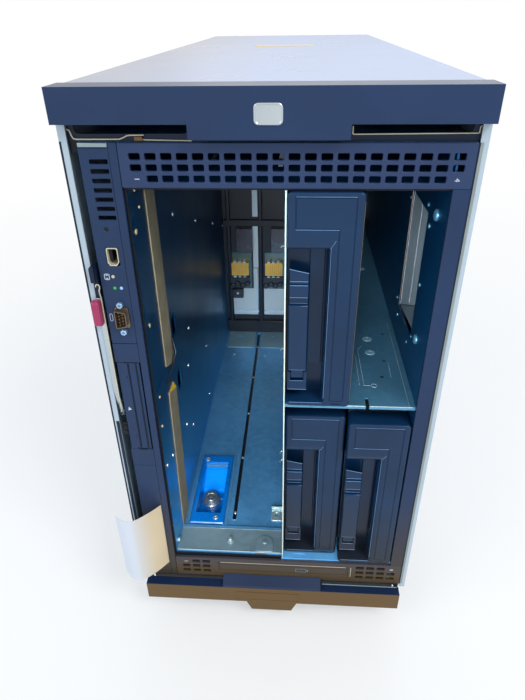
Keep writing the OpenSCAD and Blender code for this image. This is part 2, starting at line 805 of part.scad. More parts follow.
// Face, sides and lever clevis of one blank, from its lower left corner at the face
module blank_body() {
    difference() {
        union() {
            block([0, 0, 0], [blank_w, recess_d + 4, blank_h]);
            profile_y(-0.5, 1) polygon(header_outline);
        }
        profile_x(-1, column_u)
            polygon([[-1, recess_low], [recess_d - 2, recess_low], [recess_d + 2, recess_low + 4],
                [recess_d + 2, recess_low + 30], [recess_d - 2, recess_low + 30],
                [recess_d - 2, recess_top - slope_h], [0, recess_top], [-1, recess_top]]);
        profile_x(lever_u0 - 1, lever_u1 + 1)
            polygon([[recess_d - 3, recess_low + 20], [recess_d + 1.5, recess_low + 20],
                [recess_d + 1.5, recess_top - 20], [recess_d - 3, recess_top - 20]]);
    }
    for (u = [lever_u0 - 0.3, lever_u1 - ear_t + 0.3])
        profile_x(u, u + ear_t)
            polygon([[pivot_y - 3.5, pivot_w - 6], [pivot_y - 3.5, pivot_w + 4],
                [recess_d + 3, pivot_w + 4], [recess_d + 3, pivot_w - 6]]);
    block([lever_u0 - 0.3, pivot_y - 3, pivot_w - 14], [lever_u1 + 0.3, recess_d + 3, pivot_w - 6]);
    translate([0, pivot_y, pivot_w])
        rod_x(lever_pin_r2, lever_u0 + 1, lever_u1 - 1);
    difference() {
        block([1, recess_d + 4, 2], [blank_w - 1, blank_d, blank_h - 2]);
        block([1 + sheet, recess_d + 3, 2 + sheet],
            [blank_w - 1 - sheet, blank_d + 1, blank_h - 2 - sheet]);
    }
}

// The lever of one blank, stepped at its head and flat below
module blank_lever() difference() {
    union() {
        profile_x(lever_u0, lever_u1)
            polygon([[4, pivot_w + 6], [4, pivot_w + 66], [7, pivot_w + 66], [7, pivot_w + 72],
                [5, pivot_w + 74], [5, pivot_w + 82], [7, pivot_w + 84], [7, pivot_w + 95],
                [recess_d - 2.4, pivot_w + 90], [recess_d - 2.4, pivot_w + 6]]);
        translate([0, pivot_y, pivot_w])
            rod_x(barrel_r, lever_u0 + ear_t + fit, lever_u1 - ear_t - fit);
        block([lever_u0 + ear_t + fit, pivot_y - barrel_r, pivot_w],
            [lever_u1 - ear_t - fit, pivot_y + barrel_r, pivot_w + 7]);
    }
    translate([0, pivot_y, pivot_w])
        rod_x(lever_pin_r2 + pin_fit, lever_u0 - 1, lever_u1 + 1);
    translate([(lever_u0 + lever_u1) / 2, 0, pivot_w + 92]) rotate([0, 9, 0])
        block([-12, -2, 0], [12, recess_d + 2, 9]);
}

// Puts a piece of a blank into bay column i of a row, set back by back_y
module in_bay(i, row, back_y) framed()
    translate([column_x(i) + 1.2, back_y, row_z(row) + 0.5]) children();

module blank_3() color("#22406a") in_bay(2, 1, 0) blank_body();

module blank_7() color("#22406a") in_bay(2, 0, setback) blank_body();

module blank_8() color("#22406a") in_bay(3, 0, 0) blank_body();

module blank_lever_3() color("#1d3557") in_bay(2, 1, 0) blank_lever();

module blank_lever_7() color("#1d3557") in_bay(2, 0, setback) blank_lever();

module blank_lever_8() color("#1d3557") in_bay(3, 0, 0) blank_lever();

// ---------- Rear ----------

function fan_col(n) = n < 2 ? 0 : 2;
function fan_row(n) = n % 2;

module rear_frame() color("slategray") framed() difference() {
    block([skin_l + sheet, rear_y, sheet], [skin_r - sheet, chassis_d, chassis_h - sheet]);
    for (i = [0 : 2], row = [0, 1])
        if (row == 0 || i == 0)
            block([supply_x(i) + 1, rear_y - 1, supply_z + row * (supply_zone_h / 2) + 0.2],
                [supply_x(i) + supply_pitch - 1, chassis_d + 1,
                    supply_z + row * (supply_zone_h / 2) + supply_h + 2]);
    for (k = [0 : 3])
        block([supply_l + 2, rear_y - 1, link_z + k * (link_h + 1) + 1.5],
            [supply_l + link_w, chassis_d + 1, link_z + (k + 1) * (link_h + 1) - 1.5]);
    for (n = [0 : 3])
        translate([fan_x(fan_col(n)), 0, fan_row_z(fan_row(n))])
            rod_y(duct_r, rear_y - 1, chassis_d + 1);
}

module rear_cage() color("slategray") framed() {
    block([skin_l + sheet, midplane_y + 12, link_z - 2 - sheet],
        [skin_r - sheet, rear_y, link_z - 2]);
    block([skin_l + sheet, midplane_y + 140, fan_z - 2 - sheet], [skin_r - sheet, rear_y, fan_z - 2]);
    for (i = [1, 2])
        block([supply_x(i) - sheet / 2, midplane_y + 12, sheet],
            [supply_x(i) + sheet / 2, rear_y, link_z - 2 - sheet]);
    block([supply_l + link_w + 2, midplane_y + 140, link_z - 2],
        [supply_l + link_w + 2 + sheet, rear_y, fan_z - 2 - sheet]);
    for (k = [1 : 3])
        block([skin_l + sheet, midplane_y + 140, link_z + k * (link_h + 1) - sheet],
            [skin_l + sheet + 9, rear_y, link_z + k * (link_h + 1)]);
}

// One fan duct with its stator spider, from the middle of its rear face
module fan_case() {
    difference() {
        block([-fan_s / 2, -fan_d, -fan_s / 2], [fan_s / 2, 0, fan_s / 2]);
        rod_y(duct_r, -fan_d - 1, 1);
    }
    for (a = [45 : 90 : 315])
        rotate([0, a, 0]) block([hub_r - 6, -6, -2], [duct_r + 1, -3, 2]);
    rod_y(hub_r - 2, -7, -2.5);
    rod_y(shaft_r, -fan_d + 20, -6.5);
}

// A fan's rotor: hub, bore and seven pitched blades
module fan_rotor(n) framed()
    translate([fan_x(fan_col(n)), rear_y - fit, fan_row_z(fan_row(n))]) difference() {
        union() {
            rod_y(hub_r, -40, -8);
            for (k = [0 : 6])
                rotate([0, k * 360 / 7, 0]) translate([0, -24, 0]) rotate([38, 0, 0])
                    block([hub_r - 3, -1, -13], [duct_r - 3, 1, 13]);
        }
        rod_y(shaft_r + pin_fit, -41, -7);
    }

module fan_cases() color("#20242c") framed()
    for (n = [0 : 3])
        translate([fan_x(fan_col(n)), rear_y - fit, fan_row_z(fan_row(n))]) fan_case();

module fan_rotor_1() color("dimgray") fan_rotor(0);

module fan_rotor_2() color("dimgray") fan_rotor(1);

module fan_rotor_3() color("dimgray") fan_rotor(2);

module fan_rotor_4() color("dimgray") fan_rotor(3);

handle_reach = 20;

// One power supply with its inlet and handle, in supply column i
module power_supply(i) framed() translate([supply_x(i) + 1.5, 0, supply_z + fit]) {
    difference() {
        block([0, chassis_d - supply_d, 0], [supply_pitch - 3, chassis_d + 1, supply_h]);
        block([sheet, chassis_d - supply_d + sheet, sheet],
            [supply_pitch - 3 - sheet, chassis_d - 20, supply_h - sheet]);
        block([8, chassis_d - 18, 8], [36, chassis_d + 2, 32]);
    }
    for (k = [0 : 2])
        translate([22 + (k - 1) * 7, 0, 20 + (k == 1 ? 4 : -2)])
            block([-1, chassis_d - 19, -2.5], [1, chassis_d - 4, 2.5]);
    for (z = [8, supply_h - 12])
        block([62, chassis_d, z], [70, chassis_d + handle_reach, z + 4]);
    block([62, chassis_d + handle_reach - 4, 8], [70, chassis_d + handle_reach, supply_h - 8]);
}

module power_supply_1() color("silver") power_supply(1);

module power_supply_2() color("silver") power_supply(2);

top_cover();
top_bezel();
badge_plate();
side_panel_left();
side_panel_right();
base_tray();
base_bezel();
chassis_roof();
chassis_floor();
chassis_skins();
bay_wall_left();
bay_wall_right();
bay_floor();
rear_frame();
rear_cage();
front_uprights();
upper_vent_strip();
lower_vent_strip();
midplane_frame();
midplane_boards();
bay_connectors();
bay_divider();
mid_shelf();
latch_housing();
latch_knob();
gasket_strip();
chassis_fasteners();
strip_covers();
info_tag();
module_case();
module_ports();
status_lights();
reset_button();
release_lever();
lever_grip();
display_sled();
display_screen();
drive_body();
drive_tray();
eject_button();
blank_3();
blank_7();
blank_8();
blank_lever_3();
blank_lever_7();
blank_lever_8();
fan_cases();
fan_rotor_1();
fan_rotor_2();
fan_rotor_3();
fan_rotor_4();
power_supply_1();
power_supply_2();
caster_mounts();
caster_fork_left();
caster_fork_right();
wheel_front_left();
wheel_front_right();
wheel_rear_left();
wheel_rear_right();
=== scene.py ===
import json
import math

import bmesh
import bpy
from mathutils import Matrix, Vector
from mathutils.geometry import tessellate_polygon

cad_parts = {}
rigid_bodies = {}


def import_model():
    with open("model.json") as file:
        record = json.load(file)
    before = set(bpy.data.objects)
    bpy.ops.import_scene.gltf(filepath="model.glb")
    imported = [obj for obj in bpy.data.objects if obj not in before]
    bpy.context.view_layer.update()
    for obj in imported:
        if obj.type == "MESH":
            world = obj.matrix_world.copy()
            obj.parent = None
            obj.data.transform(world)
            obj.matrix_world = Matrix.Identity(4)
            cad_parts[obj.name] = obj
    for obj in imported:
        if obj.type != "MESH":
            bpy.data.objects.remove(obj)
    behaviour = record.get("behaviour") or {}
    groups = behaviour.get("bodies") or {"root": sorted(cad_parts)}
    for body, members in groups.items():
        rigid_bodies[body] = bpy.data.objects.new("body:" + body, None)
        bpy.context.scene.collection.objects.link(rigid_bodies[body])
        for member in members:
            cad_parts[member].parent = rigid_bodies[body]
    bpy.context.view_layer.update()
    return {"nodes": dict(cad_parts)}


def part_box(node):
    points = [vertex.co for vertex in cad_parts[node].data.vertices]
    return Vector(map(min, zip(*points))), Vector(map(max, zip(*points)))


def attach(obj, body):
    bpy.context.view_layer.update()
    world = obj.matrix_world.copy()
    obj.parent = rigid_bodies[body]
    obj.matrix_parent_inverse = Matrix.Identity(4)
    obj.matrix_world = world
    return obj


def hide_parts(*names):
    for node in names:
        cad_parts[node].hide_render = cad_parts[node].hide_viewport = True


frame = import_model()
scene = bpy.context.scene
MM = 0.001

# ---------- The tower's own frame: millimetres from its middle, its front plane and its deck ----------

strip_low, strip_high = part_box("lower_vent_strip")
FRONT = strip_low.y
DECK = strip_low.z


def at(x, y, z):
    """A point in metres from millimetres across, behind the front plane and above the deck."""
    return Vector((x * MM, FRONT + y * MM, DECK + z * MM))


def mm_box(node):
    """The corners of a CAD node in the tower's own millimetres."""
    shift = Vector((0, FRONT, DECK))
    return [(corner - shift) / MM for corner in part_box(node)]


SKIN_L, SKIN_R = (corner.x for corner in mm_box("chassis_skins"))
BAY_L, BAY_R = (corner.x for corner in mm_box("midplane_frame"))
PITCH = (BAY_R - BAY_L) / 4
FLOOR_Z = mm_box("bay_floor")[1].z - 3.5
SHELF_Z = mm_box("mid_shelf")[1].z
STRIP_L = mm_box("lower_vent_strip")[0].x
POST_L = mm_box("front_uprights")[0].x
LOWER_H = mm_box("lower_vent_strip")[1].z
UPPER_Z, CHASSIS_H = (corner.z for corner in mm_box("upper_vent_strip"))
CEILING_Z = UPPER_Z - 1.5
MIDPLANE_Y = mm_box("midplane_frame")[0].y
EAR_Y = mm_box("chassis_roof")[0].y
CAP_Y, REAR_Y = mm_box("top_bezel")[0].y, mm_box("rear_frame")[0].y
HALF_W = mm_box("top_bezel")[1].x
MODULE_Z = mm_box("module_case")[0].z
DISPLAY_Z = mm_box("display_sled")[0].z - 0.3


def column_x(i):
    return BAY_L + i * PITCH


# ---------- Materials ----------

def new_material(name):
    material = bpy.data.materials.new(name)
    material.use_nodes = True
    nodes = material.node_tree.nodes
    return material, nodes, material.node_tree.links, nodes["Principled BSDF"]


def noise(nodes, links, vector, scale, detail=4.0, rough=0.55):
    node = nodes.new("ShaderNodeTexNoise")
    node.inputs["Scale"].default_value = scale
    node.inputs["Detail"].default_value = detail
    node.inputs["Roughness"].default_value = rough
    links.new(vector, node.inputs["Vector"])
    return node


def remap(nodes, links, value, low, high, from_low=0.3, from_high=0.7):
    node = nodes.new("ShaderNodeMapRange")
    node.inputs["From Min"].default_value = from_low
    node.inputs["From Max"].default_value = from_high
    node.inputs["To Min"].default_value = low
    node.inputs["To Max"].default_value = high
    links.new(value, node.inputs["Value"])
    return node.outputs["Result"]


def blend_color(nodes, links, factor, a, b):
    node = nodes.new("ShaderNodeMix")
    node.data_type = "RGBA"
    links.new(factor, node.inputs["Factor"])
    for socket, color in (("A", a), ("B", b)):
        target = next(s for s in node.inputs if s.name == socket and s.type == "RGBA")
        if isinstance(color, tuple):
            target.default_value = (*color, 1)
        else:
            links.new(color, target)
    return next(s for s in node.outputs if s.type == "RGBA")


def srgb(r, g, b):
    """A colour given as 0 to 255 on screen, in linear light."""
    return tuple((c / 255 / 12.92) if c <= 10 else ((c / 255 + 0.055) / 1.055) ** 2.4 for c in (r, g, b))


def shade(color, factor):
    return tuple(min(1.0, c * factor) for c in color)


def surface(name, color, rough, metal=0.0, coat=0.0, mottle=(9.0, 0.12), grain=(900.0, 0.08),
            stretch=(1, 1, 1), spangle=None, specular=0.5, low=None):
    """A finish with uneven colour and gloss and a fine grain. low is painted light and shade: a colour that it turns to
    and the heights above the deck where that starts and ends, or the places across where an X follows them."""
    material, nodes, links, shader = new_material(name)
    place = nodes.new("ShaderNodeTexCoord").outputs["Object"]
    mapping = nodes.new("ShaderNodeMapping")
    mapping.inputs["Scale"].default_value = stretch
    links.new(place, mapping.inputs["Vector"])
    cloud = noise(nodes, links, place, mottle[0])
    dark, light = shade(color, 1 - mottle[1]), shade(color, 1 + mottle[1])
    tone = blend_color(nodes, links, remap(nodes, links, cloud.outputs["Fac"], 0, 1), dark, light)
    if spangle:
        cells = nodes.new("ShaderNodeTexVoronoi")
        cells.inputs["Scale"].default_value = spangle[0]
        links.new(place, cells.inputs["Vector"])
        split = nodes.new("ShaderNodeSeparateColor")
        links.new(cells.outputs["Color"], split.inputs["Color"])
        flake = remap(nodes, links, split.outputs["Red"], 0, spangle[1], 0, 1)
        tone = blend_color(nodes, links, flake, tone, shade(color, 1.5))
    # low paints light and shade into the colour: the finish fades to another colour by height or across, for painted
    # reflections, painted light and painted shade.
    if low:
        split = nodes.new("ShaderNodeSeparateXYZ")
        links.new(place, split.inputs["Vector"])
        axis = low[3] if len(low) > 3 else "Z"
        start, end = ((DECK if axis == "Z" else 0) + v * MM for v in low[1:3])
        painted_light_mix = remap(nodes, links, split.outputs[axis], 1, 0, end, start)
        tone = blend_color(nodes, links, painted_light_mix, tone, low[0])
    links.new(tone, shader.inputs["Base Color"])
    links.new(remap(nodes, links, cloud.outputs["Fac"], rough * 0.85, min(1.0, rough * 1.2)),
              shader.inputs["Roughness"])
    fine = noise(nodes, links, mapping.outputs["Vector"], grain[0], 2.0)
    bump = nodes.new("ShaderNodeBump")
    bump.inputs["Strength"].default_value = grain[1]
    bump.inputs["Distance"].default_value = 0.0003
    links.new(fine.outputs["Fac"], bump.inputs["Height"])
    links.new(bump.outputs["Normal"], shader.inputs["Normal"])
    shader.inputs["Metallic"].default_value = metal
    shader.inputs["Coat Weight"].default_value = coat
    shader.inputs["Coat Roughness"].default_value = 0.12
    shader.inputs["Specular IOR Level"].default_value = specular
    return material


# Painted reflection: the warm brown of the floor in front, seen in the lower front faces, painted into their colour.
PAINTED_WARM_REFLECTION = srgb(82, 68, 48)
# The cover takes a pale blue-grey for the glare of the ceiling on its darker paint, and fades across to a warmer grey
# towards the left: both are painted reflection.
COVER = surface("cover_paint", srgb(152, 168, 202), 0.30, mottle=(5, 0.05), grain=(1400, 0.10), specular=0.3,
                low=(srgb(160, 161, 172), -10, -130, "X"))
SIDE = surface("side_paint", srgb(176, 192, 204), 0.42, mottle=(6, 0.06), grain=(1400, 0.12))
# The slate plastic turns brown towards the deck: a painted warm reflection of the floor.
SLATE = surface("slate_plastic", srgb(33, 54, 88), 0.34, mottle=(11, 0.14), grain=(1600, 0.14), specular=0.25,
                low=(srgb(66, 58, 46), 130, 10))
# The blanks turn grey towards the deck: a painted reflection of the floor.
SLATE_BLANK = surface("blank_plastic", srgb(14, 48, 82), 0.22, mottle=(13, 0.16), grain=(1600, 0.06), specular=0.3,
                      low=(srgb(40, 42, 44), 120, 10))
# The strips turn to the painted warm reflection towards the deck.
SLATE_STRIP = surface("strip_plastic", srgb(44, 62, 98), 0.36, mottle=(11, 0.12), grain=(1600, 0.14), specular=0.25,
                      low=(PAINTED_WARM_REFLECTION, 60, 10))
# The levers turn grey towards the deck: a painted reflection of the floor.
LEVER = surface("lever_plastic", srgb(10, 48, 84), 0.18, mottle=(15, 0.14), grain=(1500, 0.05), specular=0.35,
                low=(srgb(38, 44, 48), 130, 20))
# The base's front face below its step is brown: a painted warm reflection of the floor, while its top stays slate.
BASE = surface("base_plastic", srgb(26, 44, 76), 0.30, mottle=(11, 0.14), grain=(1600, 0.12), specular=0.25,
               low=(srgb(104, 78, 40), -5.3, -6.0))
# The bay wall steel is darker at the top and lighter towards the deck: painted shade and painted light.
STEEL = surface("wall_steel", srgb(4, 56, 94), 0.32, metal=0.45, mottle=(7, 0.20), grain=(700, 0.10),
                spangle=(170, 0.30), specular=0.2, low=(srgb(60, 150, 204), 210, 40))
FLOOR_STEEL = surface("floor_steel", srgb(80, 140, 186), 0.34, metal=0.45, mottle=(8, 0.22), grain=(700, 0.10),
                      spangle=(170, 0.32))
SHELF_STEEL = surface("shelf_steel", srgb(64, 108, 134), 0.34, metal=0.45, mottle=(8, 0.18), grain=(700, 0.10),
                      spangle=(170, 0.32))
SILL_STEEL = surface("sill_steel", srgb(108, 130, 140), 0.34, metal=0.45, mottle=(14, 0.16), grain=(700, 0.10),
                     spangle=(170, 0.25))
DARK_SLATE = surface("frame_paint", srgb(9, 16, 28), 0.42, mottle=(14, 0.14), grain=(1200, 0.12), specular=0.25)
EDGE_STEEL = surface("edge_steel", srgb(150, 168, 172), 0.30, metal=0.6, mottle=(20, 0.10), grain=(900, 0.08))
EAR_SLATE = surface("ear_paint", srgb(20, 34, 58), 0.42, mottle=(14, 0.14), grain=(1200, 0.12), specular=0.25)
CUT_EDGE = surface("cut_edge", srgb(206, 200, 176), 0.34, metal=0.2, mottle=(40, 0.08), grain=(900, 0.08))
BRIGHT = surface("bright_steel", srgb(190, 200, 206), 0.26, metal=0.9, mottle=(20, 0.08), grain=(900, 0.08),
                 stretch=(1, 1, 12))
REAR_STEEL = surface("rear_steel", srgb(150, 164, 174), 0.40, metal=0.7, mottle=(8, 0.12), grain=(700, 0.08),
                     spangle=(120, 0.30))
PLATE_STEEL = surface("plate_steel", srgb(112, 146, 162), 0.36, metal=0.3, mottle=(12, 0.12), grain=(900, 0.08),
                      stretch=(1, 14, 1))
PALE_STEEL = surface("pale_steel", srgb(150, 166, 176), 0.45, metal=0.1, mottle=(14, 0.10), grain=(900, 0.08))
BLUE = surface("blue_latch", srgb(2, 98, 178), 0.28, coat=0.2, mottle=(20, 0.08), grain=(1200, 0.10))
# A lighter copy of the latch blue for the ramp in its cup: painted light where light falls on the ramp.
BLUE_LIT_RAMP = surface("blue_ramp", srgb(6, 138, 240), 0.28, coat=0.2, mottle=(20, 0.08), grain=(1200, 0.10))
FOAM = surface("tan_foam", srgb(124, 115, 95), 0.92, mottle=(60, 0.16), grain=(1500, 0.7), specular=0.2)
# The card fades to a pale blue-white towards its curled end: painted light.
CARD = surface("card", srgb(226, 206, 172), 0.75, mottle=(16, 0.05), grain=(900, 0.12), specular=0.25,
               low=(srgb(214, 220, 230), -118, -136, "X"))
BOARD = surface("circuit_board", srgb(6, 50, 44), 0.34, coat=0.3, mottle=(60, 0.2), grain=(900, 0.15))
GOLD = surface("contacts", srgb(186, 140, 66), 0.34, metal=0.8, mottle=(30, 0.12), grain=(2200, 0.3),
               stretch=(8, 1, 1))
TAN = surface("tan_zinc", srgb(170, 150, 110), 0.4, metal=0.3, mottle=(40, 0.08), grain=(900, 0.08))
# Painted highlights: thin pale-blue bars laid along the lit edges of the blanks and levers.
GLINT = surface("edge_glint", srgb(112, 152, 196), 0.4, mottle=(40, 0.2), grain=(900, 0.08), specular=0.3)
PANEL_EDGE = surface("panel_edge", srgb(140, 148, 146), 0.45, mottle=(30, 0.1), grain=(900, 0.08), specular=0.3)
BRASS = surface("dull_brass", srgb(110, 84, 50), 0.4, metal=0.5, mottle=(30, 0.12), grain=(1200, 0.1))
PORT_STEEL = surface("port_steel", srgb(120, 108, 92), 0.3, metal=0.7, mottle=(30, 0.12), grain=(1200, 0.08))
WINE = surface("wine_grip", srgb(158, 30, 84), 0.30, coat=0.3, mottle=(30, 0.1), grain=(1200, 0.12))
LAMP = surface("lamp", srgb(30, 170, 80), 0.25, coat=0.5, mottle=(40, 0.1), grain=(1200, 0.05))
LAMP_BLUE = surface("lamp_blue", srgb(150, 196, 240), 0.25, coat=0.5, mottle=(40, 0.1), grain=(1200, 0.05))
LAMP_PALE = surface("lamp_pale", srgb(190, 182, 164), 0.30, coat=0.4, mottle=(40, 0.1), grain=(1200, 0.05))
GLASS = surface("screen_glass", srgb(24, 34, 44), 0.10, coat=0.8, mottle=(20, 0.08), grain=(300, 0.02))
BLACK = surface("black_plastic", srgb(18, 21, 28), 0.38, mottle=(20, 0.16), grain=(1300, 0.2), specular=0.3)
BOX = surface("socket_plastic", srgb(30, 28, 42), 0.24, mottle=(30, 0.2), grain=(1300, 0.1), specular=0.5)
MARK = surface("mark_paint", srgb(196, 202, 214), 0.55, mottle=(40, 0.06), grain=(1200, 0.05))
YELLOW = surface("yellow_tape", srgb(228, 182, 14), 0.45, mottle=(30, 0.08), grain=(900, 0.15))
SCREW_BLUE = surface("jackscrew_zinc", srgb(164, 196, 226), 0.24, metal=0.75, mottle=(40, 0.1), grain=(1200, 0.06))
ZINC = surface("supply_zinc", srgb(176, 180, 184), 0.34, metal=0.75, mottle=(9, 0.1), grain=(700, 0.08),
               spangle=(150, 0.25))
TREAD = surface("tread", srgb(44, 45, 48), 0.62, mottle=(30, 0.14), grain=(900, 0.35), specular=0.35)

NODE_FINISH = {
    COVER: ["top_cover"],
    SIDE: ["side_panel_left", "side_panel_right"],
    SLATE: ["top_bezel", "front_uprights", "module_case", "display_sled", "strip_covers"],
    SLATE_STRIP: ["upper_vent_strip", "lower_vent_strip", "drive_tray", "eject_button"],
    BASE: ["base_bezel"],
    SLATE_BLANK: ["blank_3", "blank_7", "blank_8"],
    LEVER: ["blank_lever_3", "blank_lever_7", "blank_lever_8"],
    STEEL: ["bay_wall_left", "bay_wall_right", "chassis_roof"],
    DARK_SLATE: ["midplane_frame"],
    PLATE_STEEL: ["chassis_skins", "bay_divider"],
    FLOOR_STEEL: ["bay_floor", "chassis_floor"],
    SHELF_STEEL: ["mid_shelf"],
    BRIGHT: ["latch_knob", "module_ports", "badge_plate", "chassis_fasteners",
             "release_lever"],
    REAR_STEEL: ["rear_frame", "rear_cage", "drive_body", "base_tray"],
    BLUE: ["latch_housing"],
    FOAM: ["gasket_strip"],
    CARD: ["info_tag"],
    BOARD: ["midplane_boards"],
    GOLD: ["bay_connectors"],
    WINE: ["lever_grip"],
    LAMP: ["status_lights"],
    GLASS: ["display_screen"],
    BLACK: ["reset_button", "fan_cases", "fan_rotor_1", "fan_rotor_2", "fan_rotor_3", "fan_rotor_4"],
    ZINC: ["power_supply_1", "power_supply_2", "caster_mounts", "caster_fork_left", "caster_fork_right"],
    TREAD: ["wheel_front_left", "wheel_front_right", "wheel_rear_left", "wheel_rear_right"],
}

BEVELS = {"top_bezel": 1.6, "base_bezel": 1.2, "top_cover": 0.8, "side_panel_left": 1.0,
          "side_panel_right": 1.0}


def finish_cad_nodes():
    for material, names in NODE_FINISH.items():
        for name in names:
            node = frame["nodes"][name]
            node.data.materials.clear()
            node.data.materials.append(material)
            bevel = node.modifiers.new("edge", "BEVEL")
            bevel.width = BEVELS.get(name, 0.25) * MM
            bevel.segments = 3 if name in BEVELS else 2
            bevel.limit_method = "ANGLE"
            bevel.angle_limit = math.radians(40)
            bevel.harden_normals = False


finish_cad_nodes()

# ---------- Mesh helpers; every piece is built in the tower's millimetres ----------

TOWER = Matrix.Translation((0, FRONT, DECK)) @ Matrix.Scale(MM, 4)


def piece(name, bm, material, body, sharp=32, replaces=(), bevel=0):
    """Turns a bmesh in tower millimetres into a piece that rides on a body."""
    bmesh.ops.recalc_face_normals(bm, faces=bm.faces)
    bm.transform(TOWER)
    mesh = bpy.data.meshes.new(name)
    bm.to_mesh(mesh)
    bm.free()
    mesh.materials.append(material)
    mesh.shade_smooth()
    mesh.set_sharp_from_angle(angle=math.radians(sharp))
    obj = bpy.data.objects.new(name, mesh)
    scene.collection.objects.link(obj)
    if bevel:
        edge = obj.modifiers.new("edge", "BEVEL")
        edge.width = bevel * MM
        edge.segments = 2
        edge.limit_method = "ANGLE"
        edge.angle_limit = math.radians(35)
    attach(obj, body)
    if replaces:
        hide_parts(*replaces)
    return obj


def add_box(bm, a, b):
    """A block between two corners."""
    low = [min(p, q) for p, q in zip(a, b)]
    high = [max(p, q) for p, q in zip(a, b)]
    corners = [bm.verts.new((x, y, z)) for x in (low[0], high[0]) for y in (low[1], high[1])
               for z in (low[2], high[2])]
    for f in ((0, 1, 3, 2), (4, 6, 7, 5), (0, 4, 5, 1), (2, 3, 7, 6), (0, 2, 6, 4), (1, 5, 7, 3)):
        bm.faces.new([corners[i] for i in f])


def lathe(bm, origin, axis, profile, segments=24, start=0.0):
    """Turns (radius, height) points round an axis through origin. A radius of 0 closes an end."""
    turn = Vector((0, 0, 1)).rotation_difference(Vector(axis)).to_matrix()
    base = Vector(origin)
    rings = []
    for radius, height in profile:
        if radius == 0:
            rings.append([bm.verts.new(base + turn @ Vector((0, 0, height)))])
            continue
        rings.append([bm.verts.new(base + turn @ Vector((
            radius * math.cos(start + 2 * math.pi * k / segments),
            radius * math.sin(start + 2 * math.pi * k / segments), height))) for k in range(segments)])
    for lower, upper in zip(rings, rings[1:]):
        for k in range(segments):
            n = (k + 1) % segments
            if len(lower) == 1 and len(upper) == 1:
                continue
            if len(lower) == 1:
                bm.faces.new((lower[0], upper[k], upper[n]))
            elif len(upper) == 1:
                bm.faces.new((lower[k], lower[n], upper[0]))
            else:
                bm.faces.new((lower[k], lower[n], upper[n], upper[k]))


def extrude(bm, outline, axis, a, b):
    """Pushes an outline from a to b along an axis: x takes (y, z) points, y takes (x, z), z takes (x, y)."""
    def lift(p, t):
        return {"x": (t, p[0], p[1]), "y": (p[0], t, p[1]), "z": (p[0], p[1], t)}[axis]
    first = [bm.verts.new(lift(p, a)) for p in outline]
    last = [bm.verts.new(lift(p, b)) for p in outline]
    bm.faces.new(first)
    bm.faces.new(list(reversed(last)))
    count = len(outline)
    for i in range(count):
        j = (i + 1) % count
        bm.faces.new((first[i], first[j], last[j], last[i]))


LIFTS = {"x": lambda p, t: (t, p[0], p[1]), "y": lambda p, t: (p[0], t, p[1]), "z": lambda p, t: (p[0], p[1], t)}


def grown(outline, by):
    """An outline stretched about its middle so that each side moves out by a distance."""
    us, vs = [p[0] for p in outline], [p[1] for p in outline]
    mid_u, mid_v = (min(us) + max(us)) / 2, (min(vs) + max(vs)) / 2
    ku, kv = 1 + 2 * by / (max(us) - min(us)), 1 + 2 * by / (max(vs) - min(vs))
    return [(mid_u + (u - mid_u) * ku, mid_v + (v - mid_v) * kv) for u, v in outline]


def fill_plate(bm, outer, holes, axis, a, b, lip=0.0):
    """A plate from its face at a to its back at b. Its edge and its openings are broken by a lip."""
    lift = LIFTS[axis]
    step = math.copysign(lip, b - a)

    def ring(line, t):
        return [bm.verts.new(lift(p, t)) for p in line]

    def cap(loops):
        verts = [v for loop in loops for v in loop]
        for tri in tessellate_polygon([[v.co for v in loop] for loop in loops]):
            bm.faces.new([verts[i] for i in tri])

    def wall(loops):
        for first, second in zip(loops, loops[1:]):
            for i in range(len(first)):
                j = (i + 1) % len(first)
                bm.faces.new((first[i], first[j], second[j], second[i]))

    edges = []
    for line, grow in [(outer, -lip)] + [(hole, lip) for hole in holes]:
        loops = [ring(line, b)]
        if lip:
            loops = [ring(grown(line, grow), a), ring(line, a + step)] + loops
        else:
            loops = [ring(line, a)] + loops
        wall(loops)
        edges.append(loops)
    cap([loops[0] for loops in edges])
    cap([loops[-1] for loops in edges])


def tube(bm, points, r, segments=8, closed=False):
    """A round bar along a line of points."""
    path = [Vector(p) for p in points]
    count = len(path)
    rings = []
    side = None
    for i, p in enumerate(path):
        before, after = (path[i - 1], path[(i + 1) % count]) if closed else (path[max(0, i - 1)], path[min(count - 1, i + 1)])
        ahead = (after - before).normalized()
        side = ahead.orthogonal() if side is None else side - ahead * side.dot(ahead)
        side.normalize()
        up = ahead.cross(side)
        rings.append([bm.verts.new(p + (side * math.cos(2 * math.pi * k / segments)
                                        + up * math.sin(2 * math.pi * k / segments)) * r) for k in range(segments)])
    pairs = list(zip(rings, rings[1:])) + ([(rings[-1], rings[0])] if closed else [])
    for first, second in pairs:
        for k in range(segments):
            n = (k + 1) % segments
            bm.faces.new((first[k], first[n], second[n], second[k]))
    if not closed:
        bm.faces.new(rings[0])
        bm.faces.new(list(reversed(rings[-1])))


def dome(bm, place, axis, r, h, segments=16):
    """A domed rivet head that stands on a surface."""
    lathe(bm, place, axis, [(0, -0.3), (r, -0.3), (r, h * 0.3), (r * 0.86, h * 0.72), (r * 0.5, h * 0.95), (0, h)],
          segments)


def screw(bm, place, axis, r, h, segments=18):
    """A pan head screw with a round socket."""
    lathe(bm, place, axis, [(0, -0.3), (r, -0.3), (r, h * 0.55), (r * 0.86, h), (r * 0.42, h), (r * 0.36, h * 0.3),
                            (0, h * 0.3)], segments)


def trim(name, build, material, body="chassis", sharp=32, replaces=(), bevel=0):
    """A piece whose mesh is filled by the function build."""
    bm = bmesh.new()
    build(bm)
    return piece(name, bm, material, body, sharp, replaces, bevel)


